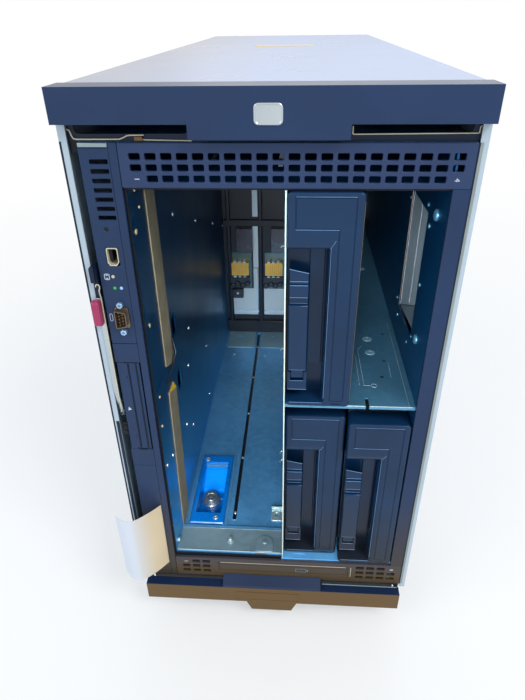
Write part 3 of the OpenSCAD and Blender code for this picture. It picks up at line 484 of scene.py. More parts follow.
def numeral(name, text, x, z, height, turn, y=0.0, body="chassis", material=None):
    """A small printed number on a face that looks forward."""
    curve = bpy.data.curves.new(name, "FONT")
    curve.body = text
    curve.size = height * 1.4
    curve.extrude = 0.04
    curve.align_x = "CENTER"
    curve.align_y = "CENTER"
    source = bpy.data.objects.new(name, curve)
    mesh = bpy.data.meshes.new_from_object(source)
    bpy.data.objects.remove(source)
    bm = bmesh.new()
    bm.from_mesh(mesh)
    bmesh.ops.remove_doubles(bm, verts=bm.verts, dist=1e-4)
    bm.transform(Matrix.Translation((x, y - 0.03, z)) @ Matrix.Rotation(math.radians(turn), 4, "Y")
                 @ Matrix.Rotation(math.radians(90), 4, "X"))
    piece(name, bm, material or MARK, body)


def arc(cx, cy, r, start, end, steps=6):
    """Points along an arc, from start to end degrees."""
    return [(cx + r * math.cos(math.radians(start + (end - start) * i / steps)),
             cy + r * math.sin(math.radians(start + (end - start) * i / steps))) for i in range(steps + 1)]


def round_rect(x0, y0, x1, y1, r, steps=4):
    """A rectangle's outline with round corners."""
    return (arc(x1 - r, y0 + r, r, -90, 0, steps) + arc(x1 - r, y1 - r, r, 0, 90, steps)
            + arc(x0 + r, y1 - r, r, 90, 180, steps) + arc(x0 + r, y0 + r, r, 180, 270, steps))


def plate_with_hole(bm, outer, inner, axis, a, b):
    """A ring plate between two outlines of as many points."""
    def lift(p, t):
        return {"x": (t, p[0], p[1]), "y": (p[0], t, p[1]), "z": (p[0], p[1], t)}[axis]
    loops = [[bm.verts.new(lift(p, t)) for p in line] for line, t in
             ((outer, a), (inner, a), (inner, b), (outer, b))]
    count = len(outer)
    for first, second in zip(loops, loops[1:] + loops[:1]):
        for i in range(count):
            j = (i + 1) % count
            bm.faces.new((first[i], first[j], second[j], second[i]))


def smooth_step(value, a, b):
    k = min(1.0, max(0.0, (value - a) / (b - a)))
    return k * k * (3 - 2 * k)


# ---------- Blade blanks ----------

BLANK_W, BLANK_H = 54.0, 183.0
BLANK_BACK = 20.0
FACE_R, CORNER_R = 2.2, 3.5
HEAD_U, HEAD_W = (6.0, 48.0), (156.5, 179.0)
COLUMN_U, COLUMN_END = 37.0, 6.5
GROOVE, GROOVE_D = 0.55, 0.55
RECESS_U, RECESS_W = 31.0, (4.5, 149.0)
BEVEL_U, BEVEL_W, BEVEL_D = 4.5, 8.5, 4.5
RECESS_D, RECESS_DEEP, PANEL_U, PANEL_W = 14.0, 17.5, (17.6, 28.2), (35.0, 139.0)


def rounded_inside(u, w):
    """How far a point lies inside the blank's rounded outline, and the point pulled onto that outline."""
    qu = abs(u - BLANK_W / 2) - BLANK_W / 2 + CORNER_R
    qw = abs(w - BLANK_H / 2) - BLANK_H / 2 + CORNER_R
    if qu > 0 and qw > 0:
        reach = math.hypot(qu, qw)
        if reach > CORNER_R:
            pull = 1 - CORNER_R / reach
            u -= math.copysign(qu * pull, u - BLANK_W / 2)
            w -= math.copysign(qw * pull, w - BLANK_H / 2)
            return 0.0, u, w
        return CORNER_R - reach, u, w
    return CORNER_R - max(qu, qw), u, w


def groove_depth(u, w):
    """The shallow line round the header and the column of a blank."""
    (u0, u1), (w0, w1) = HEAD_U, HEAD_W
    runs = [((u0, w1), (u1, w1)), ((u1, w1), (u1, COLUMN_END)), ((u1, COLUMN_END), (COLUMN_U, COLUMN_END)),
            ((COLUMN_U, COLUMN_END), (COLUMN_U, w0)), ((COLUMN_U, w0), (u0, w0)), ((u0, w0), (u0, w1))]
    nearest = 99.0
    for (ua, wa), (ub, wb) in runs:
        du = max(min(ua, ub) - u, 0, u - max(ua, ub))
        dw = max(min(wa, wb) - w, 0, w - max(wa, wb))
        nearest = min(nearest, math.hypot(du, dw))
    return GROOVE_D * (1 - smooth_step(nearest, 0.15, GROOVE))


def recess_depth(u, w):
    """The lever's recess: a rounded bevel at the top and right, then a steep wall and a stepped floor."""
    along_u = (RECESS_U + BEVEL_U - u) / BEVEL_U
    along_w = (RECESS_W[1] - w) / BEVEL_W
    lead = min(along_u, along_w)
    if lead <= 0 or w < RECESS_W[0] - 0.6:
        return 0.0
    bevel = BEVEL_D * (1 - math.sqrt(max(0.0, 1 - min(1.0, lead) ** 2)))
    inside = min(smooth_step(RECESS_U - u, 0, 1.2), smooth_step(RECESS_W[1] - BEVEL_W - w, 0, 1.2))
    lip = smooth_step(w, RECESS_W[0] - 0.6, RECESS_W[0] + 0.9)
    deep = RECESS_DEEP
    on_panel = min(smooth_step(u, PANEL_U[0] - 0.6, PANEL_U[0]), 1 - smooth_step(u, PANEL_U[1], PANEL_U[1] + 0.6),
                   smooth_step(w, PANEL_W[0] - 0.8, PANEL_W[0]))
    floor = deep + (RECESS_D - deep) * on_panel
    return (bevel + (floor - bevel) * inside) * lip


def blank_depth(u, w, inside):
    edge = FACE_R - math.sqrt(max(0.0, FACE_R ** 2 - (FACE_R - min(FACE_R, inside)) ** 2))
    hollow = recess_depth(u, w)
    if hollow > 0.01:
        return max(hollow, edge)
    slot = 0.8 * smooth_step(min(u - 38.5, 46.0 - u), 0, 0.3) * smooth_step(0.7 - abs(w - 3.2), 0, 0.3)
    return edge + groove_depth(u, w) + slot


def grid_lines(length, step, keys):
    """Evenly spaced lines with closer ones round each key place."""
    lines = {round(i * step, 3) for i in range(int(length / step) + 1)} | {length}
    for key, spread in keys:
        lines = {v for v in lines if abs(v - key) > spread * 1.05 or v in (0, length)}
        lines |= {round(key + spread * k / 4, 3) for k in range(-4, 5) if 0 <= key + spread * k / 4 <= length}
    return sorted(lines)


def blank_face(bm, origin):
    """The moulded front of a blank: a closed shell whose face is shaped point by point."""
    us = grid_lines(BLANK_W, 1.5, [(HEAD_U[0], 1.0), (HEAD_U[1], 1.0), (COLUMN_U, 1.0), (RECESS_U - 0.5, 1.4),
                                   (PANEL_U[0] - 0.3, 0.7), (PANEL_U[1] + 0.3, 0.7), (0, FACE_R), (BLANK_W, FACE_R),
                                   (RECESS_U + 2.6, 1.6)])
    ws = grid_lines(BLANK_H, 2.4, [(HEAD_W[0], 1.0), (HEAD_W[1], 1.0), (COLUMN_END, 1.0), (RECESS_W[0], 1.2),
                                   (RECESS_W[1] - BEVEL_W - 0.6, 1.2), (PANEL_W[0] - 0.4, 1.0), (3.2, 0.8),
                                   (0, FACE_R), (BLANK_H, FACE_R), (RECESS_W[1] - 5.0, 3.0), (RECESS_W[1] - 0.5, 1.5)])
    ou, oy, ow = origin
    grid = []
    for w in ws:
        row = []
        for u in us:
            inside, pu, pw = rounded_inside(u, w)
            row.append(bm.verts.new((ou + pu, oy + blank_depth(pu, pw, inside), ow + pw)))
        grid.append(row)
    for j in range(len(ws) - 1):
        for i in range(len(us) - 1):
            bm.faces.new((grid[j][i], grid[j][i + 1], grid[j + 1][i + 1], grid[j + 1][i]))
    rim = grid[0] + [row[-1] for row in grid[1:]] + grid[-1][-2::-1] + [row[0] for row in grid[-2:0:-1]]
    back = [bm.verts.new((v.co.x, oy + BLANK_BACK, v.co.z)) for v in rim]
    for i in range(len(rim)):
        j = (i + 1) % len(rim)
        bm.faces.new((rim[i], rim[j], back[j], back[i]))
    bm.faces.new(list(reversed(back)))


LEVER_U = (1.5, 17.0)
PIVOT_Y, PIVOT_W = 9.0, 28.0
EAR_T = 2.5


def blank_clevis(bm, origin):
    """The ears, pin and foot bar that carry a blank's lever."""
    ou, oy, ow = origin
    for u in (LEVER_U[0] - 0.3, LEVER_U[1] - EAR_T + 0.3):
        extrude(bm, [(oy + PIVOT_Y - 3.4, ow + PIVOT_W - 5.5), (oy + 18, ow + PIVOT_W - 5.5),
                     (oy + 18, ow + PIVOT_W + 4)]
                + [(oy + p, ow + q) for p, q in arc(PIVOT_Y, PIVOT_W + 0.4, 3.5, 90, 180)], "x", ou + u, ou + u + EAR_T)
    extrude(bm, [(oy + PIVOT_Y - 3.4, ow + PIVOT_W - 14), (oy + PIVOT_Y - 2.4, ow + PIVOT_W - 5.8),
                 (oy + 18, ow + PIVOT_W - 5.8), (oy + 18, ow + PIVOT_W - 14)], "x",
            ou + LEVER_U[0] - 0.3, ou + LEVER_U[1] + 0.3)
    lathe(bm, (ou + LEVER_U[0] + 0.2, oy + PIVOT_Y, ow + PIVOT_W), (1, 0, 0),
          [(0, 0), (1.5, 0), (1.5, LEVER_U[1] - LEVER_U[0] - 0.4), (0, LEVER_U[1] - LEVER_U[0] - 0.4)], 16)


def blank_shell(bm, origin):
    """The folded sheet box behind a blank's face, open at the back."""
    ou, oy, ow = origin
    outer = [(ou + 1, ow + 2), (ou + 53, ow + 2), (ou + 53, ow + 181), (ou + 1, ow + 181)]
    inner = [(ou + 2.2, ow + 3.2), (ou + 51.8, ow + 3.2), (ou + 51.8, ow + 179.8), (ou + 2.2, ow + 179.8)]
    plate_with_hole(bm, outer, inner, "y", oy + BLANK_BACK + 0.05, oy + 150)


def lever_profile():
    """The side outline of a blank's lever, from its foot up the front and down the back."""
    w = PIVOT_W
    return ([(4.6, w + 6), (4.0, w + 6.8), (4.0, w + 64.6)] + arc(5.4, w + 64.6, 1.4, 180, 90, 4)
            + [(7.6, w + 66.4), (7.6, w + 71.2), (5.6, w + 72.2)] + arc(6.2, w + 73.6, 1.2, 200, 180, 2)
            + [(5.0, w + 81.0), (5.7, w + 82.2), (7.0, w + 82.8), (7.0, w + 84.4), (6.4, w + 85.2), (6.2, w + 92)]
            + [(7.4, w + 95), (13.4, w + 91), (13.4, w + 6)])


def blank_lever(bm, origin):
    ou, oy, ow = origin
    outline = lever_profile()
    tilt = 3.4
    rows = []
    for u in (LEVER_U[0], LEVER_U[0] + 0.7, LEVER_U[1] - 0.7, LEVER_U[1]):
        edge = 0.6 if u in LEVER_U else 0.0
        part = []
        for y, w in outline:
            drop = tilt * (u - LEVER_U[0]) / (LEVER_U[1] - LEVER_U[0]) if w > PIVOT_W + 88 else 0
            part.append(bm.verts.new((ou + u, oy + y + (edge if y < 8 else 0), ow + w - drop)))
        rows.append(part)
    count = len(outline)
    for a, b in zip(rows, rows[1:]):
        for i in range(count):
            j = (i + 1) % count
            bm.faces.new((a[i], a[j], b[j], b[i]))
    bm.faces.new(rows[0])
    bm.faces.new(list(reversed(rows[-1])))
    lathe(bm, (ou + LEVER_U[0] + EAR_T + 0.3, oy + PIVOT_Y, ow + PIVOT_W), (1, 0, 0),
          [(1.55, 0), (4, 0), (4, LEVER_U[1] - LEVER_U[0] - 2 * EAR_T - 0.6),
           (1.55, LEVER_U[1] - LEVER_U[0] - 2 * EAR_T - 0.6), (1.55, 0)], 24)
    add_box(bm, (ou + LEVER_U[0] + EAR_T + 0.3, oy + PIVOT_Y - 3.5, ow + PIVOT_W + 2.5),
            (ou + LEVER_U[1] - EAR_T - 0.3, oy + PIVOT_Y + 3.5, ow + PIVOT_W + 7))


def lines(bm, origin, runs, r=0.22):
    """Thin bars along runs of (across, back, up) points from an origin; most of them are painted highlights on lit
    edges.
    """
    for run in runs:
        tube(bm, [tuple(o + p for o, p in zip(origin, point)) for point in run], r, 6)


def blank_highlight_bars(bm, origin):
    """Painted highlights on the lit edges of a blank: its top, its header line, the recess's right edge and the foot
    bar.
    """
    (u0, u1), (w0, w1) = HEAD_U, HEAD_W
    turn_u = RECESS_U + BEVEL_U - 0.8
    corner = [(RECESS_U + BEVEL_U * (1 - t), BEVEL_D * (1 - math.sqrt(1 - t * t)) - 0.05, RECESS_W[1] - BEVEL_W * t)
              for t in (0.1, 0.3, 0.5, 0.65, 0.8, 0.9)]
    lines(bm, origin, [[(3.4, 0.75, BLANK_H - 1.0), (BLANK_W - 3.4, 0.75, BLANK_H - 1.0)],
                       [(u0, 0.1, w1 + 0.5), (u1, 0.1, w1 + 0.5)], [(u0, 0.1, w0 - 0.5), (COLUMN_U, 0.1, w0 - 0.5)],
                       corner, [(RECESS_U + 0.9, 1.7, RECESS_W[1] - 7.2), (RECESS_U + 0.9, 1.7, RECESS_W[0] + 3)],
                       [(3, 0.3, RECESS_W[0] - 0.4), (turn_u - 4, 0.3, RECESS_W[0] - 0.4)]], 0.2)
    lines(bm, origin, [[(LEVER_U[0], PIVOT_Y - 3.5, PIVOT_W - 14), (LEVER_U[1], PIVOT_Y - 3.5, PIVOT_W - 14)],
                       [(LEVER_U[0], PIVOT_Y - 2.5, PIVOT_W - 5.9), (LEVER_U[1], PIVOT_Y - 2.5, PIVOT_W - 5.9)]], 0.25)


def lever_highlight_bars(bm, origin):
    """Painted highlights on the lit steps across a lever."""
    runs = [[(LEVER_U[0] + 0.8, y, PIVOT_W + w), (LEVER_U[1] - 0.8, y, PIVOT_W + w)]
            for y, w in ((4.3, 6.5), (7.6, 66.4), (5.6, 72.2), (5.7, 82.2), (6.4, 85.2))]
    runs.append([(LEVER_U[0] + 0.4, 7.4, PIVOT_W + 94.8), (LEVER_U[1] - 0.4, 7.4, PIVOT_W + 91.6)])
    lines(bm, origin, runs, 0.26)


def make_blanks():
    for number in (3, 7, 8):
        low = mm_box("blank_%d" % number)[0]
        origin = (low.x, low.y + 0.5, low.z)
        if number == 3:
            trim("blank_3_edge", lambda bm, o=origin: lines(bm, o, [[(BLANK_W - 0.3, 1.6, 6), (BLANK_W - 0.3, 1.6, 176)]]),
                 TAN, "blank_3")
        trim("blank_%d_lines" % number, lambda bm, o=origin: blank_highlight_bars(bm, o), GLINT, "blank_%d" % number)
        trim("blank_lever_%d_lines" % number, lambda bm, o=origin: lever_highlight_bars(bm, o), GLINT,
             "blank_lever_%d" % number)
        bm = bmesh.new()
        blank_face(bm, origin)
        blank_clevis(bm, origin)
        piece("blank_%d_face" % number, bm, SLATE_BLANK, "blank_%d" % number, 40,
              replaces=["blank_%d" % number])
        bm = bmesh.new()
        blank_shell(bm, origin)
        piece("blank_%d_shell" % number, bm, REAR_STEEL, "blank_%d" % number)
        bm = bmesh.new()
        blank_lever(bm, origin)
        piece("blank_lever_%d_shaped" % number, bm, LEVER, "blank_lever_%d" % number, 30,
              replaces=["blank_lever_%d" % number])


# ---------- Vent strips and front trim ----------

VENT_PITCH, VENT_COUNT, VENT_ROW = 10.8, 21, 7.4
VENT_SIZE = (7.8, 4.6)
VENT_L = STRIP_L + 11
STRIP_T = 3.0


def vent(i, top, row):
    x, z = VENT_L + i * VENT_PITCH, top - row * VENT_ROW
    return round_rect(x - VENT_SIZE[0] / 2, z - VENT_SIZE[1] / 2, x + VENT_SIZE[0] / 2, z + VENT_SIZE[1] / 2, 0.9, 2)


def make_strips():
    """The vent strips above and below the bays, with their numbers."""
    top = CHASSIS_H - 9
    holes = [vent(i, top, row) for row in range(3) for i in range(VENT_COUNT)
             if row < 2 or 0 < i < VENT_COUNT - 1]

    def upper(bm):
        fill_plate(bm, round_rect(STRIP_L, UPPER_Z, SKIN_R, CHASSIS_H, 1.0, 2), holes, "y", 0, STRIP_T, 0.4)
    trim("upper_strip_face", upper, SLATE_STRIP, replaces=["upper_vent_strip"])

    low_top = LOWER_H - 6
    groups = [(i, row) for row in range(3) for i in range(3) if row or i]
    groups += [(VENT_COUNT - 4 + i, row) for row in range(3) for i in range(4) if row or i < 3]
    (tray_l, _, tray_low), (tray_r, _, tray_high) = mm_box("drive_tray")
    drive = round_rect(tray_l - 0.3, tray_low - 0.3, tray_r + 0.3, tray_high + 0.3, 0.6, 2)

    def lower(bm):
        fill_plate(bm, round_rect(STRIP_L, 0, SKIN_R, LOWER_H, 1.0, 2), [vent(i, low_top, row) for i, row in groups]
                   + [drive], "y", 0, STRIP_T, 0.4)
    trim("lower_strip_face", lower, SLATE_STRIP, replaces=["lower_vent_strip"])
    right = VENT_L + (VENT_COUNT - 1) * VENT_PITCH
    for name, text, x, z in (("bay_number_1", "1", VENT_L, top - 2 * VENT_ROW), ("bay_number_4", "4", right, top - 2 * VENT_ROW),
                             ("bay_number_5", "5", VENT_L, low_top), ("bay_number_8", "8", right, low_top)):
        numeral(name, text, x, z, 3.6, 90)

    # A bright bar over the top edge of the drive slot: a painted highlight.
    def slot_highlight(bm):
        add_box(bm, (tray_l + 2, -0.25, tray_high + 0.45), (tray_r - 2, 0.1, tray_high + 0.95))
    trim("drive_slot_highlight", slot_highlight, CUT_EDGE, bevel=0.12)


def make_drive_face():
    """Trim of the disc tray: its inner line, the eject button's rim with a bar beside it for the emergency hole, a
    bright bar as a painted highlight on the end slot, and the hub.
    """
    (left, _, low), (right, _, high) = mm_box("drive_tray")

    def line(bm):
        outer = round_rect(left + 1.6, low + 1.5, right - 1.6, high - 1.5, 1.2)
        fill_plate(bm, outer, [grown(outer, -0.5)], "y", -0.18, 0.4)
    trim("tray_face_line", line, SLATE, "drive_tray")

    def button_rim(bm):
        x0, y0, z0 = mm_box("eject_button")[0]
        x1, _, z1 = mm_box("eject_button")[1]
        outer = round_rect(x0 - 0.8, z0 - 0.8, x1 + 0.8, z1 + 0.8, 0.8)
        fill_plate(bm, outer, [grown(outer, -0.42)], "y", -0.3, 0.4)
        add_box(bm, (x1 + 1.4, -0.3, z0 + 0.4), (x1 + 2.6, 0.3, z1 - 0.4))
    trim("eject_button_rim", button_rim, PLATE_STEEL, "drive_tray")

    # A bright bar standing for the end slot's lit edge: a painted highlight.
    def end_slot(bm):
        add_box(bm, (right + 3.0, -0.2, low - 1.0), (right + 3.6, 0.2, high + 0.6))
    trim("strip_end_slot_highlight", end_slot, CUT_EDGE, bevel=0.12)

    def hub(bm):
        middle = ((left + right) / 2, 65.5, low + 5.4)
        lathe(bm, middle, (0, 0, 1), [(0, 0), (14, 0), (14, 1.2), (12.8, 1.8), (8.6, 1.8), (8.2, 3.0), (7.2, 4.4),
                                     (3.0, 4.6), (2.6, 4.0), (0, 4.0)], 36)
    trim("tray_hub", hub, BLACK, "drive_tray")


# ---------- Rack ears ----------

EAR_SLOT = (92.0, 78.0, 8.0)


def ear_slot(side, z, grow=0.0):
    half_l, r = EAR_SLOT[1] / 2 + grow, EAR_SLOT[2] / 2 + grow
    return round_rect(side * EAR_SLOT[0] - half_l, z - r, side * EAR_SLOT[0] + half_l, z + r, r - 0.01, 6)


def make_ears():
    """Painted faces of the two folded ears and the edges of their slots, and black sheets of painted shade behind the
    bottom notches.
    """
    for name, low, high in (("ear_top", CHASSIS_H + 0.2, CHASSIS_H + 17.8), ("ear_bottom", -17.8, -0.2)):
        z = (low + high) / 2

        def face(bm):
            fill_plate(bm, [(-SKIN_R, low), (SKIN_R, low), (SKIN_R, high), (-SKIN_R, high)],
                       [ear_slot(-1, z, 0.5), ear_slot(1, z, 0.5)], "y", EAR_Y - 0.25, EAR_Y - 0.02)
        trim(name + "_face", face, EAR_SLATE)

        def rim(bm):
            for side in (-1, 1):
                fill_plate(bm, ear_slot(side, z, 0.5), [ear_slot(side, z, -0.1)], "y", EAR_Y - 0.3, EAR_Y + 1.2)
        trim(name + "_slot_rims", rim, EAR_SLATE)

    # Black sheets behind the bottom ear notches: painted shade in place of the dark space under the chassis.
    def notch_shade(bm):
        for side in (-1, 1):
            add_box(bm, (side * 53, EAR_Y + 7.1, -25), (side * 131, EAR_Y + 7.8, -1))
    trim("ear_bottom_shade_sheets", notch_shade, BLACK)

    def springs(bm):
        z = CHASSIS_H + 1.8
        tube(bm, [(-135.6, 2.4, z + 6.4), (-133.4, 2.4, z + 5.6), (-132.6, 2.4, z + 2.4), (-131.6, 2.4, z + 0.5),
                  (-129.6, 2.4, z), (-100.4, 2.4, z), (-98, 2.4, z + 0.8), (-94.8, 2.4, z + 2.3),
                  (-92.8, 2.4, z + 2.6), (-83.6, 2.4, z + 2.6)], 0.5, 8)
        tube(bm, [(-84.2, 2.4, z - 0.1), (-83.0, 2.4, z - 0.4), (-51.6, 2.4, z - 1.0)], 0.42, 8)
        z = CHASSIS_H
        tube(bm, [(54.0, 2.4, z + 9.8), (54.1, 2.4, z + 5.2), (54.6, 2.4, z + 4.8), (133.9, 2.4, z + 5.4),
                  (134.4, 2.4, z + 5.8), (134.5, 2.4, z + 9.2), (135.0, 2.4, z + 9.7), (140.2, 2.4, z + 10.2)], 0.42, 8)
    trim("ear_spring", springs, CUT_EDGE)

    def clip(bm):
        extrude(bm, [(-90.3, CHASSIS_H + 0.9), (-84.0, CHASSIS_H + 0.9), (-84.6, CHASSIS_H + 3.7), (-89.9, CHASSIS_H + 3.7)],
                "y", 1.2, 2.8)
    trim("ear_clip", clip, BRASS, bevel=0.3)

    def module_flange(bm):
        add_box(bm, (SKIN_L, 0.4, CHASSIS_H - 3.1), (POST_L - 0.6, 2.8, CHASSIS_H - 0.2))
    trim("module_top_flange", module_flange, EDGE_STEEL, "management_tray", bevel=0.4)


# ---------- Management module ----------

PORT_Z = 366.0
SERIAL_Z = 315.0
PORT_X = SKIN_L + 12.3
LIGHTS = ((10.0, -16.0), (10.0, -25.5), (15.1, -25.5))
RESET = (SKIN_L + 10.8, PORT_Z + 21)
TRAY = "management_tray"


def port_outline(grow):
    """The port's shell: square at the top, cut at its two lower corners."""
    half_w, half_h = 4.3 + grow, 7.0 + grow
    return [(PORT_X + u, PORT_Z + v) for u, v in (
        (half_w - 0.9, half_h), (half_w, half_h - 0.9), (half_w, -half_h + 2.8), (half_w - 2.0, -half_h),
        (-half_w + 1.6, -half_h), (-half_w, -half_h + 2.2), (-half_w, half_h - 0.9), (-half_w + 0.9, half_h))]


def serial_outline(grow):
    """The D-shaped outline of a nine-pin shell, wide end at the left."""
    return [(PORT_X - 3.9 - grow, SERIAL_Z - 7.6 - grow), (PORT_X + 3.2 + grow, SERIAL_Z - 6.2 - grow),
            (PORT_X + 3.9 + grow, SERIAL_Z - 5.2), (PORT_X + 3.9 + grow, SERIAL_Z + 5.2),
            (PORT_X + 3.2 + grow, SERIAL_Z + 6.2 + grow), (PORT_X - 3.9 - grow, SERIAL_Z + 7.6 + grow),
            (PORT_X - 4.6 - grow, SERIAL_Z + 6.8), (PORT_X - 4.6 - grow, SERIAL_Z - 6.8)]


def make_module():
    """The management module: its face with vents and ports, and the tray behind."""
    slots = [round_rect(SKIN_L + 6.5, CHASSIS_H - 14 - i * 6.5, SKIN_L + 19.4, CHASSIS_H - 10.8 - i * 6.5, 0.5, 2)
             for i in range(7)]
    port = round_rect(PORT_X - 4.8, PORT_Z - 7.3, PORT_X + 4.8, PORT_Z + 7.3, 1.6, 3)
    serial = round_rect(PORT_X - 5.6, SERIAL_Z - 9.1, PORT_X + 5.6, SERIAL_Z + 9.1, 1.2, 3)
    round_holes = [arc(RESET[0], RESET[1], 1.66, 0, 337.5, 15)]
    round_holes += [arc(SKIN_L + x, PORT_Z + z, 1.36, 0, 337.5, 15) for x, z in LIGHTS]

    def face(bm):
        outer = round_rect(SKIN_L, MODULE_Z, POST_L - 0.3, CHASSIS_H - 3.4, 0.9, 2)
        fill_plate(bm, outer, slots + [port, serial] + round_holes, "y", 0, STRIP_T, 0.3)
    trim("module_face", face, SLATE, TRAY, replaces=["module_case"])

    def shell(bm):
        low, high = mm_box("module_case")
        x0, x1, z0, z1 = SKIN_L + 1.5, POST_L - 0.6, MODULE_Z + 1, CHASSIS_H - 4.4
        outer = round_rect(x0, z0, x1, z1, 0.8, 2)
        plate_with_hole(bm, outer, grown(outer, -1.2), "y", STRIP_T + 0.02, high.y)
        for y in range(40, int(high.y) - 20, 44):
            for z in (z0 + 14, z1 - 14):
                dome(bm, (x1, y, z), (1, 0, 0), 1.8, 0.28, 12)
    trim("module_tray", shell, REAR_STEEL, TRAY)

    def board(bm):
        high = mm_box("module_case")[1]
        x = PORT_X + 5.9
        add_box(bm, (x, 4, MODULE_Z + 8), (x + 1.2, high.y - 8, CHASSIS_H - 12))
        for i in range(6):
            for j in range(3):
                add_box(bm, (x - 2.2, 26 + i * 36, MODULE_Z + 22 + j * 40), (x + 0.1, 44 + i * 36, MODULE_Z + 40 + j * 40))
    trim("module_board", board, BOARD, TRAY, bevel=0.25)

    def port_shell(bm):
        outer = port_outline(0.0)
        plate_with_hole(bm, outer, grown(outer, -0.62), "y", -0.5, 14)
    trim("port_shell", port_shell, CUT_EDGE, TRAY, replaces=["module_ports"], bevel=0.12)

    def port_inside(bm):
        add_box(bm, (PORT_X - 2.8, 3, PORT_Z - 4.6), (PORT_X - 1.0, 13.5, PORT_Z + 4.6))
        fill_plate(bm, round_rect(PORT_X - 3.8, PORT_Z - 6.2, PORT_X + 3.8, PORT_Z + 6.2, 1.2), [], "y", 12.5, 14)
        fill_plate(bm, serial_outline(-0.55), [], "y", -1.4, 2.0)
        fill_plate(bm, round_rect(RESET[0] - 1.3, RESET[1] - 1.3, RESET[0] + 1.3, RESET[1] + 1.3, 1.2), [], "y", 2.0, 2.6)
    trim("port_inside", port_inside, BLACK, TRAY, bevel=0.2)

    def serial_shell(bm):
        plate_with_hole(bm, serial_outline(0.2), serial_outline(-0.5), "y", -4.9, 10)
        outer = round_rect(PORT_X - 5.4, SERIAL_Z - 8.9, PORT_X + 5.4, SERIAL_Z + 8.9, 1.0)
        fill_plate(bm, outer, [serial_outline(0.1)], "y", -0.35, 2)
    trim("serial_shell", serial_shell, PORT_STEEL, TRAY, bevel=0.12)

    def serial_pins(bm):
        for i in range(9):
            x = PORT_X + (-1.8 if i < 5 else 1.2)
            z = SERIAL_Z + (5.5 - 2.75 * i if i < 5 else 4.1 - 2.75 * (i - 5))
            lathe(bm, (x, -3.8, z), (0, 1, 0), [(0, 0), (0.35, 0.1), (0.6, 0.6), (0.6, 3.2), (0, 3.2)], 10)
    trim("serial_pins", serial_pins, GOLD, TRAY)

    def jackscrews(bm):
        for side in (-1, 1):
            place = (PORT_X, -4.0, SERIAL_Z + side * 12)
            lathe(bm, place, (0, 1, 0), [(1.2, 1.6), (1.2, 0.3), (1.5, 0), (2.3, 0), (2.7, 0.5), (2.7, 3.8), (0, 3.8),
                                         (0, 1.6), (1.2, 1.6)], 6, 0.3)
    trim("jackscrews", jackscrews, SCREW_BLUE, TRAY, sharp=25, bevel=0.15)

    for i, (name, material) in enumerate((("light_pale", LAMP_PALE), ("light_green", LAMP), ("light_blue", LAMP_BLUE))):
        def lamp(bm, i=i):
            place = (SKIN_L + LIGHTS[i][0], 0, PORT_Z + LIGHTS[i][1])
            lathe(bm, place, (0, -1, 0), [(0, -2.8), (1.3, -2.8), (1.3, 0.1), (1.0, 0.42), (0.5, 0.6), (0, 0.64)], 16)
        trim(name, lamp, material, TRAY, replaces=["status_lights"] if i == 0 else ())

    def reset(bm):
        lathe(bm, (RESET[0], 0.7, RESET[1]), (0, 1, 0), [(0, 0.25), (0.9, 0.1), (1.6, 0), (1.6, 5.2), (0, 5.2)], 20)
    trim("reset_cap", reset, BLACK, "reset_button", replaces=["reset_button"])

    def marks(bm):
        ring = round_rect(SKIN_L + 3.2, PORT_Z - 18.6, SKIN_L + 7.4, PORT_Z - 13.6, 1.1, 3)
        fill_plate(bm, ring, [grown(ring, -0.5)], "y", -0.05, 0.1)
        for z in (-17.4, -14.8):
            add_box(bm, (SKIN_L + 4.5, -0.05, PORT_Z + z - 0.4), (SKIN_L + 6.0, 0.1, PORT_Z + z + 0.4))
        ring = round_rect(SKIN_L + 2.0, SERIAL_Z - 3.4, SKIN_L + 4.6, SERIAL_Z + 3.4, 1.2, 3)
        fill_plate(bm, ring, [grown(ring, -0.45)], "y", -0.05, 0.1)
    trim("module_marks", marks, MARK, TRAY)


# ---------- Release lever, display and strip covers ----------

LEVER_X = SKIN_L - 3.1
LEVER_Z = mm_box("release_lever")[0].z + 5


